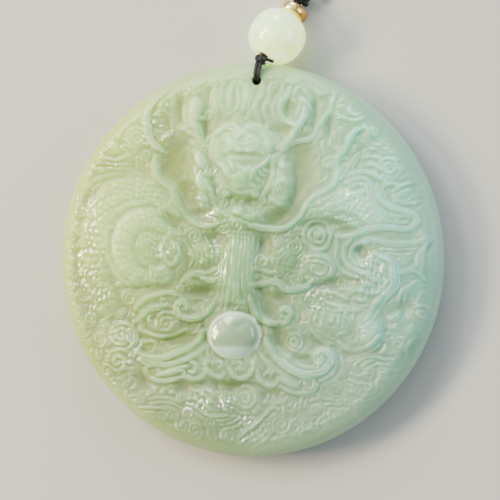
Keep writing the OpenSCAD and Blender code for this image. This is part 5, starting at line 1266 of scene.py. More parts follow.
def mix_colour(tree, share, a, b, blend="MIX"):
    mixed = tree.nodes.new("ShaderNodeMix")
    mixed.data_type, mixed.blend_type = "RGBA", blend
    for socket, source in ((0, share), (6, a), (7, b)):
        if isinstance(source, bpy.types.NodeSocket):
            tree.links.new(source, mixed.inputs[socket])
        else:
            mixed.inputs[socket].default_value = source if socket == 0 else (*source, 1)
    return mixed.outputs[2]


# %% [markdown]
# Every material starts from its Principled shader, and its constants go on the shader's own sockets.

# %% a new material
def new_material(name, **constants):
    """A material with its Principled shader's constants set on the shader's own sockets."""
    material = bpy.data.materials.new(name)
    material.use_nodes = True
    tree = material.node_tree
    shader = tree.nodes["Principled BSDF"]
    for socket, value in constants.items():
        shader.inputs[socket.replace("_", " ")].default_value = value
    return material, tree, shader


# %% [markdown]
# Clouds in stone are broad noise, drawn out one way by "Streak", and flecks are the same noise seven
# times finer. Polishing leaves scratches that run mostly one way, so their noise is drawn out along Y,
# and smears that are four times as wide.

# %% the clouding and the polish marks
FLECK_FINER, SCRATCH_WAY, SMEAR_SHARE = 7.0, (1.0, 0.12, 1.0), 0.25
clouding, inputs, outputs = new_group("clouding", [("Scale", 100), ("Streak", 1)], ["Cloud", "Fleck"])
place = object_point(clouding)
along_y = node(clouding, "CombineXYZ", {0: 1.0, 1: inputs["Streak"], 2: 1.0}).outputs[0]
streaky = stretch(clouding, place, along_y)
cloud = noise(clouding, streaky, Scale=inputs["Scale"], Detail=4.0, Distortion=0.8)
fleck = noise(clouding, place, Scale=scaled(clouding, inputs["Scale"], FLECK_FINER), Detail=3.0)
clouding.links.new(spread_range(clouding, cloud, 0.3, 0.7), outputs["Cloud"])
clouding.links.new(spread_range(clouding, fleck, 0.56, 0.74), outputs["Fleck"])

polish, inputs, outputs = new_group("polish marks", [("Scale", 600), ("Amount", 1)], ["Height", "Dullness"])
place = object_point(polish)
long_way = stretch(polish, place, SCRATCH_WAY)
scratch = noise(polish, long_way, Scale=inputs["Scale"], Detail=5.0, Roughness=0.65)
smear = noise(polish, place, Scale=scaled(polish, inputs["Scale"], SMEAR_SHARE), Detail=3.0)
polish.links.new(scaled(polish, scratch, inputs["Amount"]), outputs["Height"])
dull = scaled(polish, spread_range(polish, smear, 0.4, 0.75), inputs["Amount"])
polish.links.new(dull, outputs["Dullness"])
print("groups:", [group.name for group in bpy.data.node_groups])


def add_group(tree, group, **values):
    """Puts a finished group into a material and gives its outputs."""
    made = tree.nodes.new("ShaderNodeGroup")
    made.node_tree = group
    for label, value in values.items():
        made.inputs[label].default_value = value
    return made.outputs


def add_bump(tree, shader, height, strength, deep):
    """Lets a height pattern tilt the shading, as if it were so many millimetres deep."""
    bump = node(tree, "Bump", {"Height": height, "Strength": strength, "Distance": deep * MM})
    tree.links.new(bump.outputs[0], shader.inputs["Normal"])


# %% [markdown]
# Jade is a mass of fine crystals that light sinks into, so the shader scatters light a few millimetres
# deep under a clear polish. Painted shade makes the grooves and the deep pockets olive green, and painted
# light makes the raised lines pale, which the stored depths give. Painted highlights run along the crests
# of wide strokes, with painted shade between them.

# %% the carved jade: painted light and shade by depth
POCKET_SHADE_OLIVE, FRONT_CREST_LIGHT_COLOUR = (0.25, 0.31, 0.12), (0.62, 0.86, 0.76)
CREST_LINE_HIGHLIGHT, CREST_LINE_SHADE = (0.74, 0.95, 0.92), (0.28, 0.38, 0.22)
jade, tree, shader = new_material("carved jade", Subsurface_Weight=0.92, Subsurface_Scale=0.0035, IOR=1.61,
                                  Specular_IOR_Level=0.35, Coat_Roughness=0.04, Coat_IOR=2.0)
shader.inputs["Subsurface Radius"].default_value = (0.9, 1.0, 0.8)
mark = {name: node(tree, "Attribute", attribute_name=name).outputs["Fac"] for name in stored}
fine_share = spread_range(tree, mark["fine_depth"], -0.13, 0.17)
wide_share = spread_range(tree, mark["wide_depth"], -0.6, 0.8)
depth = math_node(tree, "ADD", scaled(tree, fine_share, 0.5), scaled(tree, wide_share, 0.5))
# painted shade in the grooves and painted light on the raised lines, set by their depth
stone = colour_ramp(tree, depth, [(0.14, (0.42, 0.44, 0.34)), (0.36, (0.42, 0.49, 0.34)),
                                  (0.55, (0.42, 0.54, 0.36)), (0.80, (0.60, 0.82, 0.67))])
# painted light on the crests of the front strokes
stone = mix_colour(tree, scaled(tree, mark["polished"], 0.28), stone, FRONT_CREST_LIGHT_COLOUR)
# painted shade: the deep pockets are darkened to olive
stone = mix_colour(tree, scaled(tree, mark["pocket_shade"], 0.85), stone, POCKET_SHADE_OLIVE)
crests = math_node(tree, "COSINE", scaled(tree, mark["across"], 9.4))
crests = scaled(tree, crests, spread_range(tree, mark["across"], 0.9, 1.05, 1.0, 0.0))
# painted highlights along the crests of wide strokes, and painted shade between them
stone = mix_colour(tree, spread_range(tree, crests, 0.0, 1.0, 0.0, 0.42), stone, CREST_LINE_HIGHLIGHT)
stone = mix_colour(tree, spread_range(tree, crests, 0.0, -1.0, 0.0, 0.16), stone, CREST_LINE_SHADE)
print("the jade reads:", ", ".join(mark))

# %% [markdown]
# Painted light and shade tint the stone: warm painted light on its left half and cooler painted shade on
# its right, painted shade below and painted light above, and a plain band of its own along the rim.
# Painted shade also darkens it round the middle, where it is thinnest and the floor shows through.

# %% the carved jade: painted light and shade from side to side
WARM_LEFT_LIGHT, COOL_RIGHT_SHADE = (1.03, 0.82, 0.19), (0.29, 0.63, 0.68)
LOW_SHADE_TINT, TOP_LIGHT_TINT, MIDDLE_SHADE_TINT = (0.53, 0.69, 0.86), (1.48, 1.78, 2.05), (0.64, 0.72, 0.60)
point = object_point(tree)
place = node(tree, "SeparateXYZ", {0: point}).outputs
to_right = spread_range(tree, place[0], -26 * MM, 26 * MM)
to_top = spread_range(tree, place[1], -27 * MM, 24 * MM)
# painted light and shade: warm on the left, darker on the right and below, lighter at the top
light_and_shade_tint = mix_colour(tree, to_right, WARM_LEFT_LIGHT, COOL_RIGHT_SHADE)
light_and_shade_tint = mix_colour(tree, 1.0, light_and_shade_tint, mix_colour(tree, to_top, LOW_SHADE_TINT, TOP_LIGHT_TINT), "MULTIPLY")
stone = mix_colour(tree, 1.0, stone, light_and_shade_tint, "MULTIPLY")
rim_stone = mix_colour(tree, to_right, (0.43, 0.52, 0.12), (0.27, 0.53, 0.42))
stone = mix_colour(tree, scaled(tree, mark["plain_rim"], 0.8), stone, rim_stone)
# painted shade round the middle of the face
middle_shade = spread_range(tree, distance(tree, point, (0, 0, 0)), 8 * MM, 19 * MM, 1.0, 0.0)
stone = mix_colour(tree, middle_shade, stone, MIDDLE_SHADE_TINT, "MULTIPLY")
print("with its tints:", len(tree.nodes), "nodes")

# %% [markdown]
# Milky clouds, small white flecks and a few faint threads run through the stone. A thread is drawn where
# a noise passes its middle value. Hardly any light gets into the drilled hole, so it is dark inside.

# %% the carved jade: clouds, flecks, threads and the hole
VEIN_W = 0.012
clouds = add_group(tree, clouding, Scale=95, Streak=0.7)
stone = mix_colour(tree, scaled(tree, clouds["Cloud"], 0.22), stone, (0.66, 0.84, 0.56))
stone = mix_colour(tree, scaled(tree, clouds["Fleck"], 0.1), stone, (0.84, 0.86, 0.78))
veins = noise(tree, point, Scale=60.0, Detail=6.0, Distortion=1.6)
from_vein = math_node(tree, "ABSOLUTE", math_node(tree, "SUBTRACT", veins, 0.5))
stone = mix_colour(tree, spread_range(tree, from_vein, 0.0, VEIN_W, 0.22, 0.0), stone, (0.46, 0.56, 0.38))
over_hole = node(tree, "CombineXYZ", {0: place[0], 1: place[1]}).outputs[0]
from_hole = distance(tree, over_hole, (HOLE[0] * MM, HOLE[1] * MM, 0.0))
in_hole = spread_range(tree, from_hole, 0.6 * MM, 0.76 * MM, 0.96, 0.0)
stone = mix_colour(tree, in_hole, stone, (0.05, 0.06, 0.05))
print("with clouds and veins:", len(tree.nodes), "nodes")

# %% [markdown]
# The pearl was cut from the same stone, and its colour paints the light its smooth dome gathers: painted
# shade makes it deep green in the middle, and painted light makes it pale along its edge and lit from
# below and above, as a polished bead is.

# %% the carved jade: the pearl
on_pearl = spread_range(tree, mark["pearl"], 0.0, 0.02)
# painted shade in the pearl's middle
stone = mix_colour(tree, scaled(tree, on_pearl, 0.8), stone, (0.28, 0.42, 0.27))
edge_light = spread_range(tree, mark["pearl"], 0.06, 0.16, 1.0, 0.0)
low_light = spread_range(tree, place[1], -12.0 * MM, -12.7 * MM, 0.0, 0.85)
top_light = spread_range(tree, place[1], -8.8 * MM, -8.0 * MM, 0.0, 0.6)
# painted light along the pearl's edge, below it and on its top
for share, glow in ((edge_light, (0.78, 0.95, 0.84)), (low_light, (0.62, 0.86, 0.70)),
                    (top_light, (0.66, 0.84, 0.66))):
    stone = mix_colour(tree, scaled(tree, on_pearl, share), stone, glow)
tree.links.new(stone, shader.inputs["Base Color"])
print("with the pearl:", len(tree.nodes), "nodes")

# %% [markdown]
# The polish is satin, and only the places that were rubbed longest are as clear as glass: there the coat
# is full and the roughness falls to a fifth. Bump adds what is too fine for the mesh, which is small
# scales, the tool's marks, scratches and the lines along the crests.

# %% the carved jade: its polish and its finest marks
marks = add_group(tree, polish, Scale=700, Amount=1)
patches = noise(tree, point, Scale=420.0, Detail=2.0)
sparkling = scaled(tree, mark["sparkle"], spread_range(tree, patches, 0.44, 0.54))
rough = spread_range(tree, depth, 0.2, 0.6, 0.45, 0.30)
rough = math_node(tree, "MULTIPLY_ADD", marks["Dullness"], 0.08, rough)
rough = scaled(tree, rough, spread_range(tree, sparkling, 0.0, 0.8, 1.0, 0.2))
tree.links.new(rough, shader.inputs["Roughness"])
cells = node(tree, "TexVoronoi", {"Vector": point, "Scale": 1450.0, "Randomness": 0.55}).outputs["Distance"]
small_scales = scaled(tree, spread_range(tree, cells, 0.0, 0.75, 1.0, 0.0), mark["scaly"])
tool_marks = noise(tree, point, Scale=900.0, Detail=4.0, Roughness=0.6, Distortion=1.0)
relief_marks = 0.0
for pattern, share in ((small_scales, 0.3), (tool_marks, 0.45), (marks["Height"], 0.1), (crests, 0.35)):
    relief_marks = math_node(tree, "MULTIPLY_ADD", pattern, share, relief_marks)
add_bump(tree, shader, relief_marks, 0.8, 0.12)
clear = scaled(tree, spread_range(tree, mark["fine_depth"], -0.1, 0.1, 0.04, 0.16),
               spread_range(tree, mark["pocket_shade"], 0.0, 0.6, 1.0, 0.1))
for place_share in (sparkling, scaled(tree, on_pearl, 0.5)):
    clear = math_node(tree, "MAXIMUM", clear, place_share)
tree.links.new(clear, shader.inputs["Coat Weight"])
disc.data.materials.clear()
disc.data.materials.append(jade)
print("carved jade:", len(tree.nodes), "nodes")

# %% [markdown]
# Satin cord is a bundle of silky threads with a slight twist. Each strand is a mesh tube along a path: a
# ring of points is set round every step of the path, and the ends narrow to a dome. Its UV map runs round
# and along the strand, so that the finish can draw threads that follow every bend.

# %% tubes along a path
def unit_rows(vectors):
    return vectors / np.linalg.norm(vectors, axis=1)[:, None]


def lengths_along(line):
    """How far along a line each of its points lies."""
    return np.concatenate([[0], np.cumsum(np.linalg.norm(np.diff(line, axis=0), axis=1))])


def evenly(line, step):
    """The same line with points a step apart, and closer ones at its ends for the domes."""
    along = lengths_along(line)
    total = along[-1]
    close = np.array([0, 0.12, 0.3, 0.6]) * step
    between = np.linspace(step, total - step, max(2, int(total / step) - 1))
    places = np.concatenate([close, between, total - close[::-1]])
    return np.column_stack([np.interp(places, along, line[:, axis]) for axis in range(3)])


# %% [markdown]
# One function makes a piece from any number of paths. The way up that goes with a path keeps a flat strand
# from turning over where the path bends.

# %% a piece of strands
def strands(name, runs, sides=8):
    """One piece of tubes. A run is (path, its way up, half width, half thickness), and all is in mm."""
    points, faces, uvs = [], [], []
    for path, ups, half_side, half_up in runs:
        tangent = unit_rows(np.gradient(path, axis=0))
        side = unit_rows(np.cross(tangent, ups))
        up = np.cross(side, tangent)
        along = lengths_along(path)
        to_end = np.clip(np.minimum(along, along[-1] - along) / half_up, 0, 1)
        dome = np.sqrt(np.clip(1 - (1 - to_end) ** 2, 0.03, 1))[:, None, None]
        angle = 2 * np.pi * np.arange(sides) / sides
        ring = (np.reshape(half_side, (-1, 1, 1)) * np.cos(angle)[None, :, None] * side[:, None]
                + np.reshape(half_up, (-1, 1, 1)) * np.sin(angle)[None, :, None] * up[:, None])
        start = len(points)
        points += (path[:, None] + dome * ring).reshape(-1, 3).tolist()
        for i in range(len(path) - 1):
            for k in range(sides):
                a, b = start + i * sides + k, start + i * sides + (k + 1) % sides
                faces.append((a, b, b + sides, a + sides))
                u, w = k / sides, (k + 1) / sides
                uvs += [(u, along[i]), (w, along[i]), (w, along[i + 1]), (u, along[i + 1])]
        faces.append(tuple(start + k for k in reversed(range(sides))))
        faces.append(tuple(start + (len(path) - 1) * sides + k for k in range(sides)))
        uvs += [(0.5, 0)] * sides + [(0.5, along[-1])] * sides
    mesh = bpy.data.meshes.new(name)
    mesh.from_pydata([[value * MM for value in point] for point in points], [], faces)
    mesh.uv_layers.new(name="along_strand").data.foreach_set("uv", [value for uv in uvs for value in uv])
    piece = bpy.data.objects.new(name, mesh)
    bpy.context.collection.objects.link(piece)
    show_only(piece)
    bpy.ops.object.mode_set(mode="EDIT")
    bpy.ops.mesh.select_all(action="SELECT")
    bpy.ops.mesh.normals_make_consistent(inside=False)
    bpy.ops.object.mode_set(mode="OBJECT")
    bpy.ops.object.shade_smooth()
    return piece


def finish_piece(piece, material, slot, *nodes):
    """Gives a piece its finish and says which CAD nodes it stands for."""
    piece.data.materials.clear()
    piece.data.materials.append(material)
    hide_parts(*nodes)
    print(piece.name, "has", len(piece.data.polygons), "faces and stands for", ", ".join(nodes))


# %% [markdown]
# The thread's finish reads the strand's UV map. Fine twisted threads are drawn as stripes that run round
# once in a while; each stripe is glossier and gets a painted sheen, a lighter colour along it. The same
# group of nodes serves the black satin cord and the dark brown thread that is strung through the bead.

# %% the thread finishes
fibres, inputs, outputs = new_group("twisted fibres", [("Threads", 7), ("Twist", 1.2)], ["Height", "Shine"])
strand_uv = node(fibres, "SeparateXYZ", {0: node(fibres, "UVMap", uv_map="along_strand").outputs[0]}).outputs
round_it = scaled(fibres, strand_uv[0], inputs["Threads"])
along_it = scaled(fibres, strand_uv[1], inputs["Twist"])
phase = scaled(fibres, math_node(fibres, "ADD", round_it, along_it), 2 * math.pi)
stripe = math_node(fibres, "MULTIPLY_ADD", math_node(fibres, "SINE", phase), 0.5, 0.5)
spot = node(fibres, "CombineXYZ", {0: round_it, 1: scaled(fibres, strand_uv[1], 0.8)}).outputs[0]
uneven = noise(fibres, spot, Scale=2.2, Detail=4.0)
fibres.links.new(math_node(fibres, "MULTIPLY_ADD", uneven, 0.5, stripe), outputs["Height"])
shine = scaled(fibres, spread_range(fibres, stripe, 0.3, 1.0), spread_range(fibres, uneven, 0.35, 0.65))
fibres.links.new(shine, outputs["Shine"])


def thread_finish(name, dark, light, threads, twist):
    """A satin thread whose stripes go from a dark colour to a lighter painted sheen."""
    material, tree, shader = new_material(name, Sheen_Weight=0.06, Sheen_Roughness=0.4,
                                          Specular_IOR_Level=0.5)
    marks = add_group(tree, fibres, Threads=threads, Twist=twist)
    # painted sheen: the shine lightens the colour along each stripe
    tree.links.new(mix_colour(tree, marks["Shine"], dark, light), shader.inputs["Base Color"])
    tree.links.new(spread_range(tree, marks["Shine"], 0, 1, 0.5, 0.28), shader.inputs["Roughness"])
    add_bump(tree, shader, marks["Height"], 0.7, 0.06)
    return material


satin = thread_finish("black satin cord", (0.002, 0.002, 0.006), (0.018, 0.020, 0.06), 8, 0.9)
brown = thread_finish("brown thread", (0.030, 0.010, 0.006), (0.16, 0.055, 0.03), 6, 1.6)
print("thread finishes:", satin.name, "and", brown.name)

# %% [markdown]
# A doubled strand of satin cord goes through the hole and round the rim, and both of its ends run into a
# small knot under the bead. Each row of the path says how far the cord lies outwards from the hole, how
# high, how far to the bead's side, and how far each strand lies from the middle. In the hole and round the
# disc's edge the cord is pulled tight, and it passes the edge on the left, clear of the bead.

# %% the hanging cord
BEAD_AT = np.array((3.86, 31.8, 4.05))
BEAD_AXIS = np.array((0.4394, 0.7927, -0.4226))
KNOT_AT = np.array((2.0, 28.4, 6.1))
OUT = np.array((0.164, 0.986, 0))
SIDE = np.array((0.986, -0.164, 0))
BAND_ROUTE = [(2.86, 5.4, -0.3, 0.22), (2.84, 5.0, -0.45, 0.22), (2.81, 4.3, -0.52, 0.22),
              (2.8, 3.5, -0.52, 0.22), (2.66, 2.4, -0.5, 0.22), (2.32, 1.5, -0.38, 0.24),
              (1.87, 0.94, -0.2, 0.26), (1.35, 0.54, -0.1, 0.26), (0.95, 0.33, 0, 0.24),
              (0.56, 0.25, 0, 0.21), (0.36, 0.42, 0, 0.2), (0.31, 0.8, 0, 0.2), (0.31, 1.6, 0, 0.2),
              (0.31, 5.2, 0, 0.2),
              (0.36, 5.95, 0, 0.2), (0.68, 6.35, 0, 0.22), (1.2, 6.44, 0, 0.26), (1.78, 6.3, 0, 0.26),
              (2.3, 6.25, 0, 0.26), (2.75, 6.2, 0, 0.26)]
STRAND_HALF_W, STRAND_HALF_T, TIGHTER_W, TIGHTER_T = 0.28, 0.27, 0.06, 0.05
runs = []
for hand in (-1, 1):
    path = np.array([(*HOLE, high) + far * OUT + (aside + hand * apart) * SIDE
                     for far, high, aside, apart in BAND_ROUTE])
    path = evenly(smooth_line(path), 0.14)
    outwards = (path - (*HOLE, 0)) @ OUT
    tight = np.clip((outwards - 2.0) / 0.5, 0, 1) * np.clip((5.9 - path[:, 2]) / 0.3, 0, 1)
    tight += np.clip((1.0 - outwards) / 0.4, 0, 1)
    runs.append((path, np.cross(SIDE, np.gradient(path, axis=0)),
                 STRAND_HALF_W - TIGHTER_W * tight, STRAND_HALF_T - TIGHTER_T * tight))
band = strands("satin_band", runs, sides=12)
finish_piece(band, satin, "cord", "hang_thread")

# %% [markdown]
# The knots are trefoils, the simplest real knot: the path goes twice round a ring while it winds round
# the ring's tube three times. The lower one pinches the satin cord under the bead and leaves a short
# melted stub. The upper one stops the gold ring, and the neck braid's two ends go into it.

# %% the knots and the thread through the bead
def trefoil(middle, axis, ring_r, tube_r, start_deg=0.0, share=1.0):
    """A trefoil's path and its outward directions, in mm."""
    t = math.radians(start_deg) + np.linspace(0, 2 * np.pi * share, int(90 * share))
    swing = ring_r + tube_r * np.cos(3 * t)
    flat = np.column_stack([swing * np.cos(2 * t), swing * np.sin(2 * t), tube_r * np.sin(3 * t)])
    out = np.column_stack([np.cos(3 * t) * np.cos(2 * t), np.cos(3 * t) * np.sin(2 * t), np.sin(3 * t)])
    turn = np.array(Vector(axis).to_track_quat("Z", "Y").to_matrix())
    return flat @ turn.T + middle, out @ turn.T


lower = [(*trefoil(KNOT_AT, BEAD_AXIS, 0.45, 0.24, 20), 0.3, 0.27)]
stub = smooth_line([KNOT_AT + (0.2, 0.1, 0.2), KNOT_AT + (0.9, 0.02, 0.12), KNOT_AT + (1.45, -0.18, 0.0),
                    KNOT_AT + (1.85, -0.36, -0.12)])
stub = evenly(stub, 0.15)
lower.append((stub, np.tile((0, 0, 1.0), (len(stub), 1)), 0.24, 0.2))
lower_knot = strands("lower_knot_wraps", lower, sides=10)
finish_piece(lower_knot, satin, "cord", "lower_knot")

upper_at = np.array((6.83, 37.29, 1.617))
upper_knot = strands("upper_knot_wraps", [(*trefoil(upper_at, BEAD_AXIS, 0.75, 0.38), 0.46, 0.42)], sides=10)
finish_piece(upper_knot, satin, "cord", "upper_knot")

THREAD_BELOW, THREAD_ABOVE, TWIST_LENGTH, THREAD_R = 4.2, 6.0, 4.5, 0.38
first, last = BEAD_AT - THREAD_BELOW * BEAD_AXIS, BEAD_AT + THREAD_ABOVE * BEAD_AXIS
line = evenly(np.array([first, last]), 0.25)
along = np.linalg.norm(line - first, axis=1)
turn = np.array(Vector(BEAD_AXIS).to_track_quat("Z", "Y").to_matrix())
runs = []
for phase_deg in (0, 180):
    a = math.radians(phase_deg) + 2 * np.pi * along / TWIST_LENGTH
    out = np.column_stack([np.cos(a), np.sin(a), 0 * a]) @ turn.T
    runs.append((line + THREAD_R * out, out, THREAD_R, 0.36))
loop_t = np.linspace(0, 1.7 * np.pi, 24)
loop = np.column_stack([-0.42 + 0.30 * np.cos(loop_t), 0.25 + 0.34 * np.sin(loop_t), 0.12 - 0.04 * loop_t])
runs.append((KNOT_AT + loop, np.tile((0, 0, 1.0), (len(loop), 1)), 0.17, 0.17))
inner_thread = strands("inner_thread", runs, sides=10)
finish_piece(inner_thread, brown, "cord", "bead_thread")

# %% [markdown]
# The bead was turned from paler jade, drilled through, and its ends were flattened a little so that it
# sits well against the ring. Half of its outline is drawn as a rounded square and spun about the bore.
# The ring is a smaller rounded square, set off from the axis and spun round it.

# %% the bead and the gold ring
def rounded_square(angle, half_w, half_h, squareness):
    """A point of a rounded outline. Squareness 2 gives an oval, and more gives flatter sides."""
    c, s = math.cos(angle), math.sin(angle)
    return (half_w * math.copysign(abs(c) ** (2 / squareness), c),
            half_h * math.copysign(abs(s) ** (2 / squareness), s))


BEAD_R, BEAD_HALF, BORE_R, BEAD_STEPS, MOUTH_W, SPUN_STEPS = 4.0, 3.8, 0.95, 48, 0.2, 96
half_turns = [-math.pi / 2 + math.pi * step / BEAD_STEPS for step in range(BEAD_STEPS + 1)]
outline = [rounded_square(a, BEAD_R, BEAD_HALF, 2.3) for a in half_turns]
outline = [(r, h) for r, h in outline if r > BORE_R + MOUTH_W]
end_h = outline[-1][1]
outline = [(BORE_R, -end_h + 0.22), (BORE_R + 0.06, -end_h + 0.07)] + outline
outline += [(BORE_R + 0.06, end_h - 0.07), (BORE_R, end_h - 0.22)]
bead = lathe("drilled_bead", outline, SPUN_STEPS, BEAD_AT, BEAD_AXIS)

RING_MIDDLE, RING_HALF_W, RING_HALF_T, RING_STEPS, RING_ABOVE = 1.525, 0.575, 0.8, 40, 4.45
outline = [rounded_square(2 * math.pi * step / RING_STEPS, RING_HALF_W, RING_HALF_T, 2.5)
           for step in range(RING_STEPS)]
outline = [(RING_MIDDLE + r, h) for r, h in outline]
ring_piece = lathe("gold_ring", outline, SPUN_STEPS, BEAD_AT + RING_ABOVE * BEAD_AXIS, BEAD_AXIS)
print("bead:", len(bead.data.polygons), "faces, ring:", len(ring_piece.data.polygons), "faces")

# %% [markdown]
# The bead's jade is milkier than the disc's, with white bands that cross it and a yellower end. Light
# fills a bead this small from all sides, and a glow in the stone's own colour stands for it.

# %% the bead's jade
bead_jade, tree, shader = new_material("bead jade", Subsurface_Weight=0.6, Subsurface_Scale=0.0015, IOR=1.61,
                                       Coat_Weight=0.8, Coat_Roughness=0.05, Emission_Strength=1.5)
shader.inputs["Subsurface Radius"].default_value = (0.9, 1.0, 0.7)
TO_BEAD = (-0.0039, -0.032, -0.0041)
centred = node(tree, "Mapping", {"Vector": object_point(tree), "Location": TO_BEAD}).outputs[0]
parts = node(tree, "SeparateXYZ", {0: centred}).outputs
low_right = math_node(tree, "SUBTRACT", scaled(tree, parts[0], 0.7), parts[1])
stone = colour_ramp(tree, spread_range(tree, low_right, -4.5 * MM, 4.5 * MM),
                    [(0.0, (0.62, 0.93, 0.50)), (0.55, (0.74, 0.97, 0.42)), (1.0, (0.92, 0.97, 0.20))])
bands = noise(tree, stretch(tree, centred, (0.25, 1.0, 0.6)), Scale=330.0, Detail=3.0, Distortion=1.2)
milky = spread_range(tree, bands, 0.48, 0.6, 0.0, 0.6)
stone = mix_colour(tree, milky, stone, (0.90, 1.0, 0.74))
clouds = add_group(tree, clouding, Scale=260, Streak=0.6)
stone = mix_colour(tree, scaled(tree, clouds["Cloud"], 0.3), stone, (0.60, 0.76, 0.50))
tree.links.new(stone, shader.inputs["Base Color"])
tree.links.new(stone, shader.inputs["Emission Color"])
marks = add_group(tree, polish, Scale=900, Amount=1)
tree.links.new(math_node(tree, "MULTIPLY_ADD", marks["Dullness"], 0.08, 0.14), shader.inputs["Roughness"])
add_bump(tree, shader, marks["Height"], 0.15, 0.04)
finish_piece(bead, bead_jade, "jade", "jade_bead")

# %% [markdown]
# The ring's gold gets painted light on its upper left, where it faces the window, and painted shade that
# turns it a deep copper colour below. Wipe marks dull it in places.

# %% the ring's gold
gold, tree, shader = new_material("gold ring", Metallic=1.0)
marks = add_group(tree, polish, Scale=1500, Amount=1)
clouds = add_group(tree, clouding, Scale=600, Streak=1)
spot = node(tree, "SeparateXYZ", {0: object_point(tree)}).outputs
# painted light on the upper left and painted shade to the lower right
low_right = spread_range(tree, math_node(tree, "SUBTRACT", spot[0], spot[1]), -30.5 * MM, -26.5 * MM)
gold_light_shade_and_wear = colour_ramp(tree, low_right, [(0.1, (1.0, 0.86, 0.40)), (0.5, (0.96, 0.62, 0.12)),
                                     (0.9, (0.55, 0.20, 0.03))])
gold_light_shade_and_wear = mix_colour(tree, scaled(tree, clouds["Cloud"], 0.3), gold_light_shade_and_wear, (0.98, 0.74, 0.32))
gold_light_shade_and_wear = mix_colour(tree, scaled(tree, marks["Dullness"], 0.35), gold_light_shade_and_wear, (0.62, 0.33, 0.09))
tree.links.new(gold_light_shade_and_wear, shader.inputs["Base Color"])
tree.links.new(math_node(tree, "MULTIPLY_ADD", marks["Dullness"], 0.12, 0.24), shader.inputs["Roughness"])
add_bump(tree, shader, marks["Height"], 0.2, 0.03)
finish_piece(ring_piece, gold, "gold", "gold_spacer")

# %% [markdown]
# The neck cord is a round braid of four strands. Two wind one way and two the other, and each one rises
# over a crossing and dives under the next, so they hold one another. It lies in its worn loop on the
# floor. Its ends are pulled into a wrapped closing knot, which slides to set the length.

# %% the neck braid
BRAID_ROUTE = [(-0.48, 1.56), (0.4, 4.1), (-1.7, 9.7), (-15.9, 18.2), (-42.9, 28.7), (-66.9, 48.7),
               (-75.9, 76.7), (-70.9, 106.7), (-52.9, 133.7), (-24.9, 152.7), (-9.9, 158.1), (-0.9, 159.7),
               (6.1, 159.9), (13.1, 159.7), (22.1, 158.1), (38.1, 152.7), (66.1, 133.7), (84.1, 106.7),
               (90.1, 75.7), (81.1, 46.7), (58.1, 25.7), (27.1, 13.7), (9.6, 6.7), (3.5, 2.9), (1.58, 0.41)]
BRAID_Z, STEP_Z, CLOSING_Z, CLOSING_ROW = 1.1, 1.9, 2.3, 12
lift = {CLOSING_ROW + row: CLOSING_Z for row in range(-2, 3)}
lift[CLOSING_ROW - 3] = lift[CLOSING_ROW + 3] = STEP_Z
route = np.array([(upper_at[0] + x, upper_at[1] + y, lift.get(row, BRAID_Z))
                  for row, (x, y) in enumerate(BRAID_ROUTE)])
TURN_LENGTH, BRAID_R, WEAVE = 5.2, 0.55, 0.25
path = evenly(smooth_line(route), TURN_LENGTH / 12)
along = lengths_along(path)
tangent = unit_rows(np.gradient(path, axis=0))
across = unit_rows(np.cross(tangent, (0, 0, 1.0)))
above = np.cross(across, tangent)
phi = 2 * np.pi * along / TURN_LENGTH
runs = []
for hand in (1, -1):
    for half_turn in (0, math.pi):
        a = phi + half_turn if hand == 1 else math.pi / 2 + half_turn - phi
        out = np.cos(a)[:, None] * across + np.sin(a)[:, None] * above
        r = BRAID_R + hand * WEAVE * np.sin(2 * phi)
        runs.append((path + r[:, None] * out, out, 0.5, 0.3))
braid = strands("braided_cord", runs, sides=7)
print("the neck braid is", round(along[-1]), "mm long")
finish_piece(braid, satin, "cord", "neck_braid")

# %% [markdown]
# The closing knot is one long spiral: eleven turns of satin cord, wound side by side round the middle of
# the loop's far end.

# %% the wrapped closing knot
WRAP_TURNS, WRAP_R, WRAP_HALF, CLOSING_HALF = 11, 1.8, 0.5, 5.5
a = np.linspace(0, 2 * np.pi * WRAP_TURNS, 20 * WRAP_TURNS + 1)
out = np.column_stack([0 * a, np.cos(a), np.sin(a)])
along_x = np.linspace(-CLOSING_HALF, CLOSING_HALF, len(a))
wrap = route[CLOSING_ROW] + WRAP_R * out + np.column_stack([along_x, 0 * a, 0 * a])
closing = strands("closing_wraps", [(wrap, out, WRAP_HALF, WRAP_HALF)])
finish_piece(closing, satin, "cord", "closing_knot")

# %% [markdown]
# The pendant lies on a plain pale floor. A wide soft lamp overhead gives the even studio light, and one
# like a small window stands at the upper left. Two small warm lamps near it draw the bright points from
# the polished places. A cool lamp fills the right side, and a narrow one behind lights the upper edges.

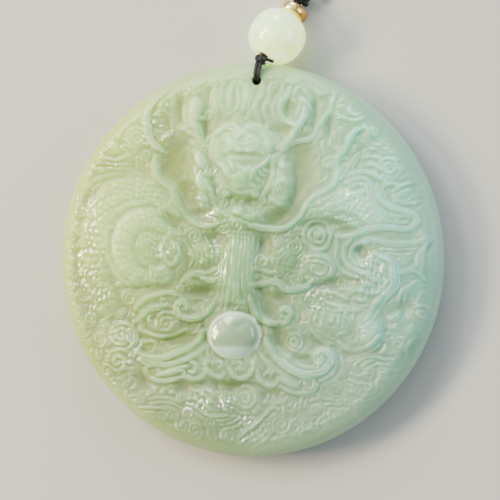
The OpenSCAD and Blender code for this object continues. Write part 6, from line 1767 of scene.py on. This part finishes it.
# %% the floor and the lights
bpy.ops.object.select_all(action="DESELECT")
bpy.ops.mesh.primitive_plane_add(size=4)
floor = bpy.context.object
floor.name = "floor"
floor.data.transform(Matrix.Translation((0, 0, -0.02 * MM)))
paper, tree, shader = new_material("pale floor", Roughness=0.7)
clouds = add_group(tree, clouding, Scale=9, Streak=1)
pale = mix_colour(tree, clouds["Cloud"], (0.56, 0.56, 0.55), (0.59, 0.59, 0.58))
tree.links.new(pale, shader.inputs["Base Color"])
floor.data.materials.append(paper)
floor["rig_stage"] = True

world = bpy.data.worlds.new("studio")
bpy.context.scene.world = world
world.use_nodes = True
world.node_tree.nodes["Background"].inputs[0].default_value = (0.90, 0.95, 1.0, 1)
world.node_tree.nodes["Background"].inputs[1].default_value = 0.35


def soft_lamp(name, place, size, power, colour):
    """A square lamp that faces the pendant."""
    bpy.ops.object.select_all(action="DESELECT")
    bpy.ops.object.light_add(type="AREA", location=place)
    lamp = bpy.context.object
    lamp.name = name
    lamp.data.size, lamp.data.energy, lamp.data.color = size, power, colour
    lamp.rotation_mode = "QUATERNION"
    lamp.rotation_quaternion = Vector(place).to_track_quat("Z", "Y")


soft_lamp("top_light", (-0.08, 0.54, 0.60), 1.0, 3.0, (0.95, 0.98, 1.0))
soft_lamp("window_light", (-0.34, 0.36, 0.50), 0.26, 3.0, (1.0, 0.96, 0.84))
soft_lamp("warm_light", (-0.42, 0.12, 0.36), 0.12, 2.6, (1.0, 0.84, 0.48))
soft_lamp("low_glint", (-0.46, -0.02, 0.34), 0.12, 2.3, (1.0, 0.84, 0.50))
soft_lamp("far_strip", (0.0, 0.55, 0.18), 0.2, 1.4, (0.95, 0.98, 1.0))
soft_lamp("right_fill", (0.55, 0.10, 0.26), 0.3, 1.5, (0.80, 0.95, 1.0))

# %% [markdown]
# Every piece rides on the one body of the pendant.

# %% ride, measure and finish
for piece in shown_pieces():
    if not piece.get("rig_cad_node"):
        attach(piece, "root")
low, high = [list(corner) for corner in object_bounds()]
print("finished box in mm:", [[round(v / MM, 2) for v in corner] for corner in (low, high)])
